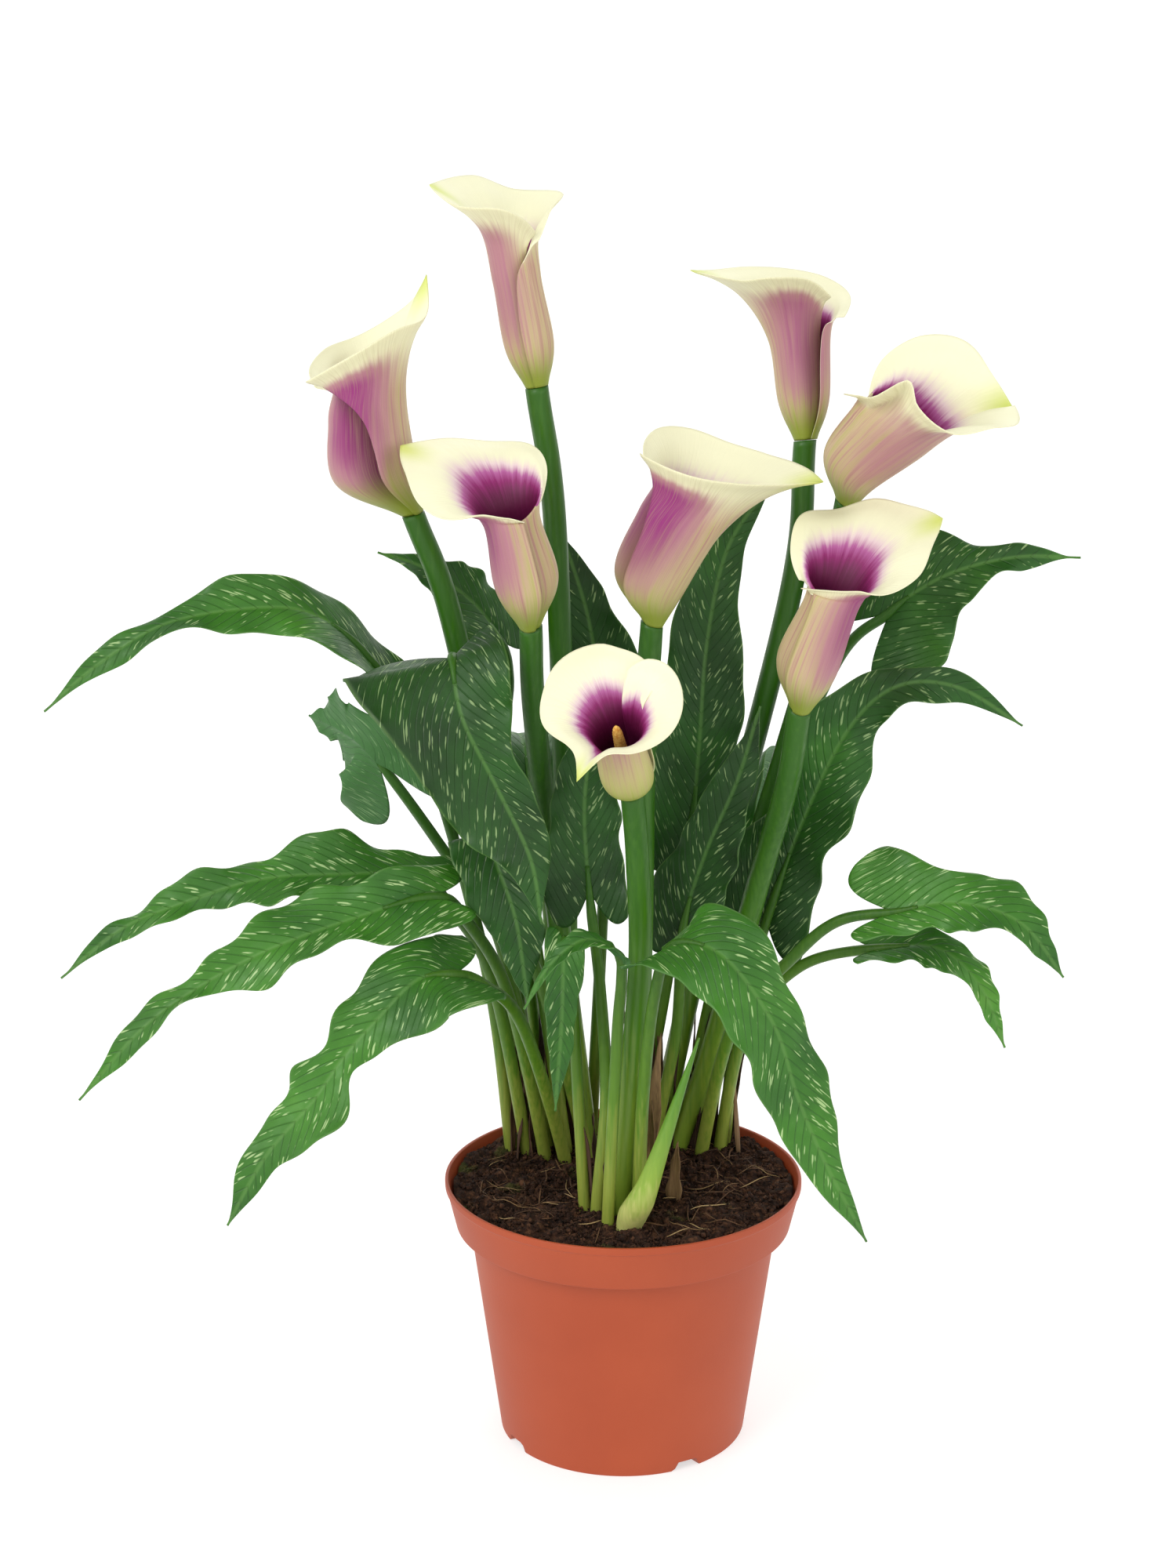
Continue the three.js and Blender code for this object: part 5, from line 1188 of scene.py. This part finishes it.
SPADIX_RADIUS = 3
SPADIX_HEIGHT = 44
SPADIX_ROWS = 84
SPADIX_SIDES = 30
SPADIX_KERNELS = (26, 9)
SPADIX_BUMP = 0.28
pollen, tree, shader = finish_material("spadix_pollen", Roughness=0.8)
place = node(tree, "TexCoord").outputs["Object"]
grains = node(tree, "TexVoronoi", {"Vector": place, "Scale": 900}).outputs["Distance"]
gold = ramp(tree, grains, (0.0, srgb(246, 206, 106)), (1.0, srgb(196, 122, 30)))
tree.links.new(gold, shader.inputs["Base Color"])

for bloom_name, given in BLOOMS.items():
    bloom = {**USUAL_YOUNG, **given}
    up, toward, side = spathe_frame(bloom)
    points = stem_points(bloom["tuber"], bloom["place"], [*bloom["route"], bloom["top"]])
    t = np.linspace(0, 1, STALK_ROWS)
    centres, directions = along_spline(points, t)
    lean = smooth(t, 0.9, 1)[:, None]
    directions = unit(directions * (1 - lean) + up * lean)
    radii = STALK_FOOT + (STALK_NECK - STALK_FOOT) * t
    stalk_grid, stalk_faces = rod(centres, directions, radii, STALK_SIDES)
    stalk = make_mesh("flower_stalk_" + bloom_name, [(stalk_grid, stalk_faces, {})], stalk_skin)
    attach(stalk, "root")
    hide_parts("stalk_" + bloom_name)

    surface, u, v, angle = spathe_surface(bloom)
    margin = np.maximum(np.abs(v), u) ** MARGIN_POWER
    half = (SPATHE_THICKNESS - (SPATHE_THICKNESS - SPATHE_EDGE) * margin) / 2
    solid, faces = both_faces(surface, half, half)
    throat = (1 - smooth(u, 0.46, 0.9)) * (1 - 0.9 * smooth(v * bloom["hand"], 0.78, 0.95))
    aside = (np.degrees(angle) - bloom["flush_at"] + 180) % 360 - 180
    flush = bloom["flush"] * np.exp(-((aside / FLUSH_WIDTH) ** 2))
    flush = flush * smooth(u, 0.1, 0.45) * (1 - smooth(u, 0.72, 0.95))
    # Painted shade of the fold: full where the inner margin lies under the outer one, fading out round from
    # there, and none in the limb
    outer = np.degrees(np.abs(angle[:, -1:] if bloom["hand"] > 0 else angle[:, :1]))
    past = 360 - outer - np.abs(np.degrees(angle))
    seam_painted_shade = bloom["seam"] * (v * bloom["hand"] < 0) * smooth(past, SEAM_SHADE_WIDTH, 0)
    seam_painted_shade = seam_painted_shade * (1 - smooth(u, 0.6, 0.85))
    tipped = smooth(u, 0.8, 1) * np.exp(-((np.degrees(angle) / TIP_WIDTH) ** 2))
    values = {"rise": twice(u), "turned": twice(angle), "throat": twice(throat), "flush": twice(flush),
              "tipped": twice(tipped), "seam_painted_shade": twice(seam_painted_shade), "young": bloom["young"],
              "inner": np.repeat([0.0, 1.0], u.size)}
    spathe = make_mesh("rolled_spathe_" + bloom_name, [(solid, faces, values)], spathe_skin)
    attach(spathe, "root")
    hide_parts("spathe_" + bloom_name)

    rise = np.linspace(0, 1, SPADIX_ROWS)
    spine = np.array(bloom["top"], float) + up * (JOINT_GAP + rise[:, None] * SPADIX_HEIGHT)
    outline = SPADIX_RADIUS * np.interp(rise, [0, 0.1, 0.6, 0.9, 0.97, 1], [0.8, 1, 0.95, 0.7, 0.5, 0.2])
    around = np.linspace(0, 2 * np.pi, SPADIX_SIDES, endpoint=False)[None]
    kernels = (np.sin(np.pi * SPADIX_KERNELS[0] * rise[:, None] + SPADIX_KERNELS[1] * around / 2)
               * np.sin(np.pi * SPADIX_KERNELS[0] * rise[:, None] - SPADIX_KERNELS[1] * around / 2))
    radii = outline[:, None] + SPADIX_BUMP * kernels**2 * smooth(1 - rise[:, None], 0, 0.1)
    spadix_grid, spadix_faces = rod(spine, np.repeat(up[None], SPADIX_ROWS, 0), radii, SPADIX_SIDES)
    spadix = make_mesh("pollen_spadix_" + bloom_name, [(spadix_grid, spadix_faces, {})], pollen)
    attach(spadix, "root")
    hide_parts("spadix_" + bloom_name)


# Sprout: a young leaf at the front, still rolled to a point inside its pale sheath. It rises from the front
# tuber, swells above the soil, and has one seam that winds up it.
SPROUT_PLACE = (3, -52)
SPROUT_POINTS = [(12, -60, 150), (34, -55, 218)]
SPROUT_RADII = (3.5, 4.5, 6, 7, 6.5, 4.5, 2.5, 0.5)
SPROUT_ROWS = 70
SPROUT_SIDES = 36
SPROUT_SEAM = 0.07
SPROUT_WINDING = 0.6

sprout_skin, tree, shader = finish_material("sprout_skin", Roughness=0.5)
place = node(tree, "TexCoord").outputs["Object"]
streak = fibre_streaks(tree, place, 500, 60)
rise = stepped(tree, node(tree, "SeparateXYZ", {0: place}).outputs[2], 0.122, 0.2)
tone = maths(tree, "ADD", rise, maths(tree, "MULTIPLY_ADD", streak, 0.5, -0.25))
green = ramp(tree, tone, (0.0, srgb(196, 198, 116)), (1.0, srgb(80, 132, 26)), (0.3, srgb(136, 166, 54)))
tree.links.new(green, shader.inputs["Base Color"])
emboss(tree, shader, streak, 0.3, 0.0006)

t = np.linspace(0, 1, SPROUT_ROWS)
centres, directions = along_spline(stem_points("tuber_front", SPROUT_PLACE, SPROUT_POINTS), t)
around = np.linspace(0, 2 * np.pi, SPROUT_SIDES, endpoint=False)[None]
swell = np.interp(t, np.linspace(0, 1, len(SPROUT_RADII)), SPROUT_RADII)
seam = (around / (2 * np.pi) + SPROUT_WINDING * t[:, None]) % 1
radii = swell[:, None] * (1 - SPROUT_SEAM + SPROUT_SEAM * seam)
sprout_grid, sprout_faces = rod(centres, directions, radii, SPROUT_SIDES)
sprout = make_mesh("rolled_sprout", [(sprout_grid, sprout_faces, {})], sprout_skin)
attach(sprout, "root")
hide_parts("sprout")
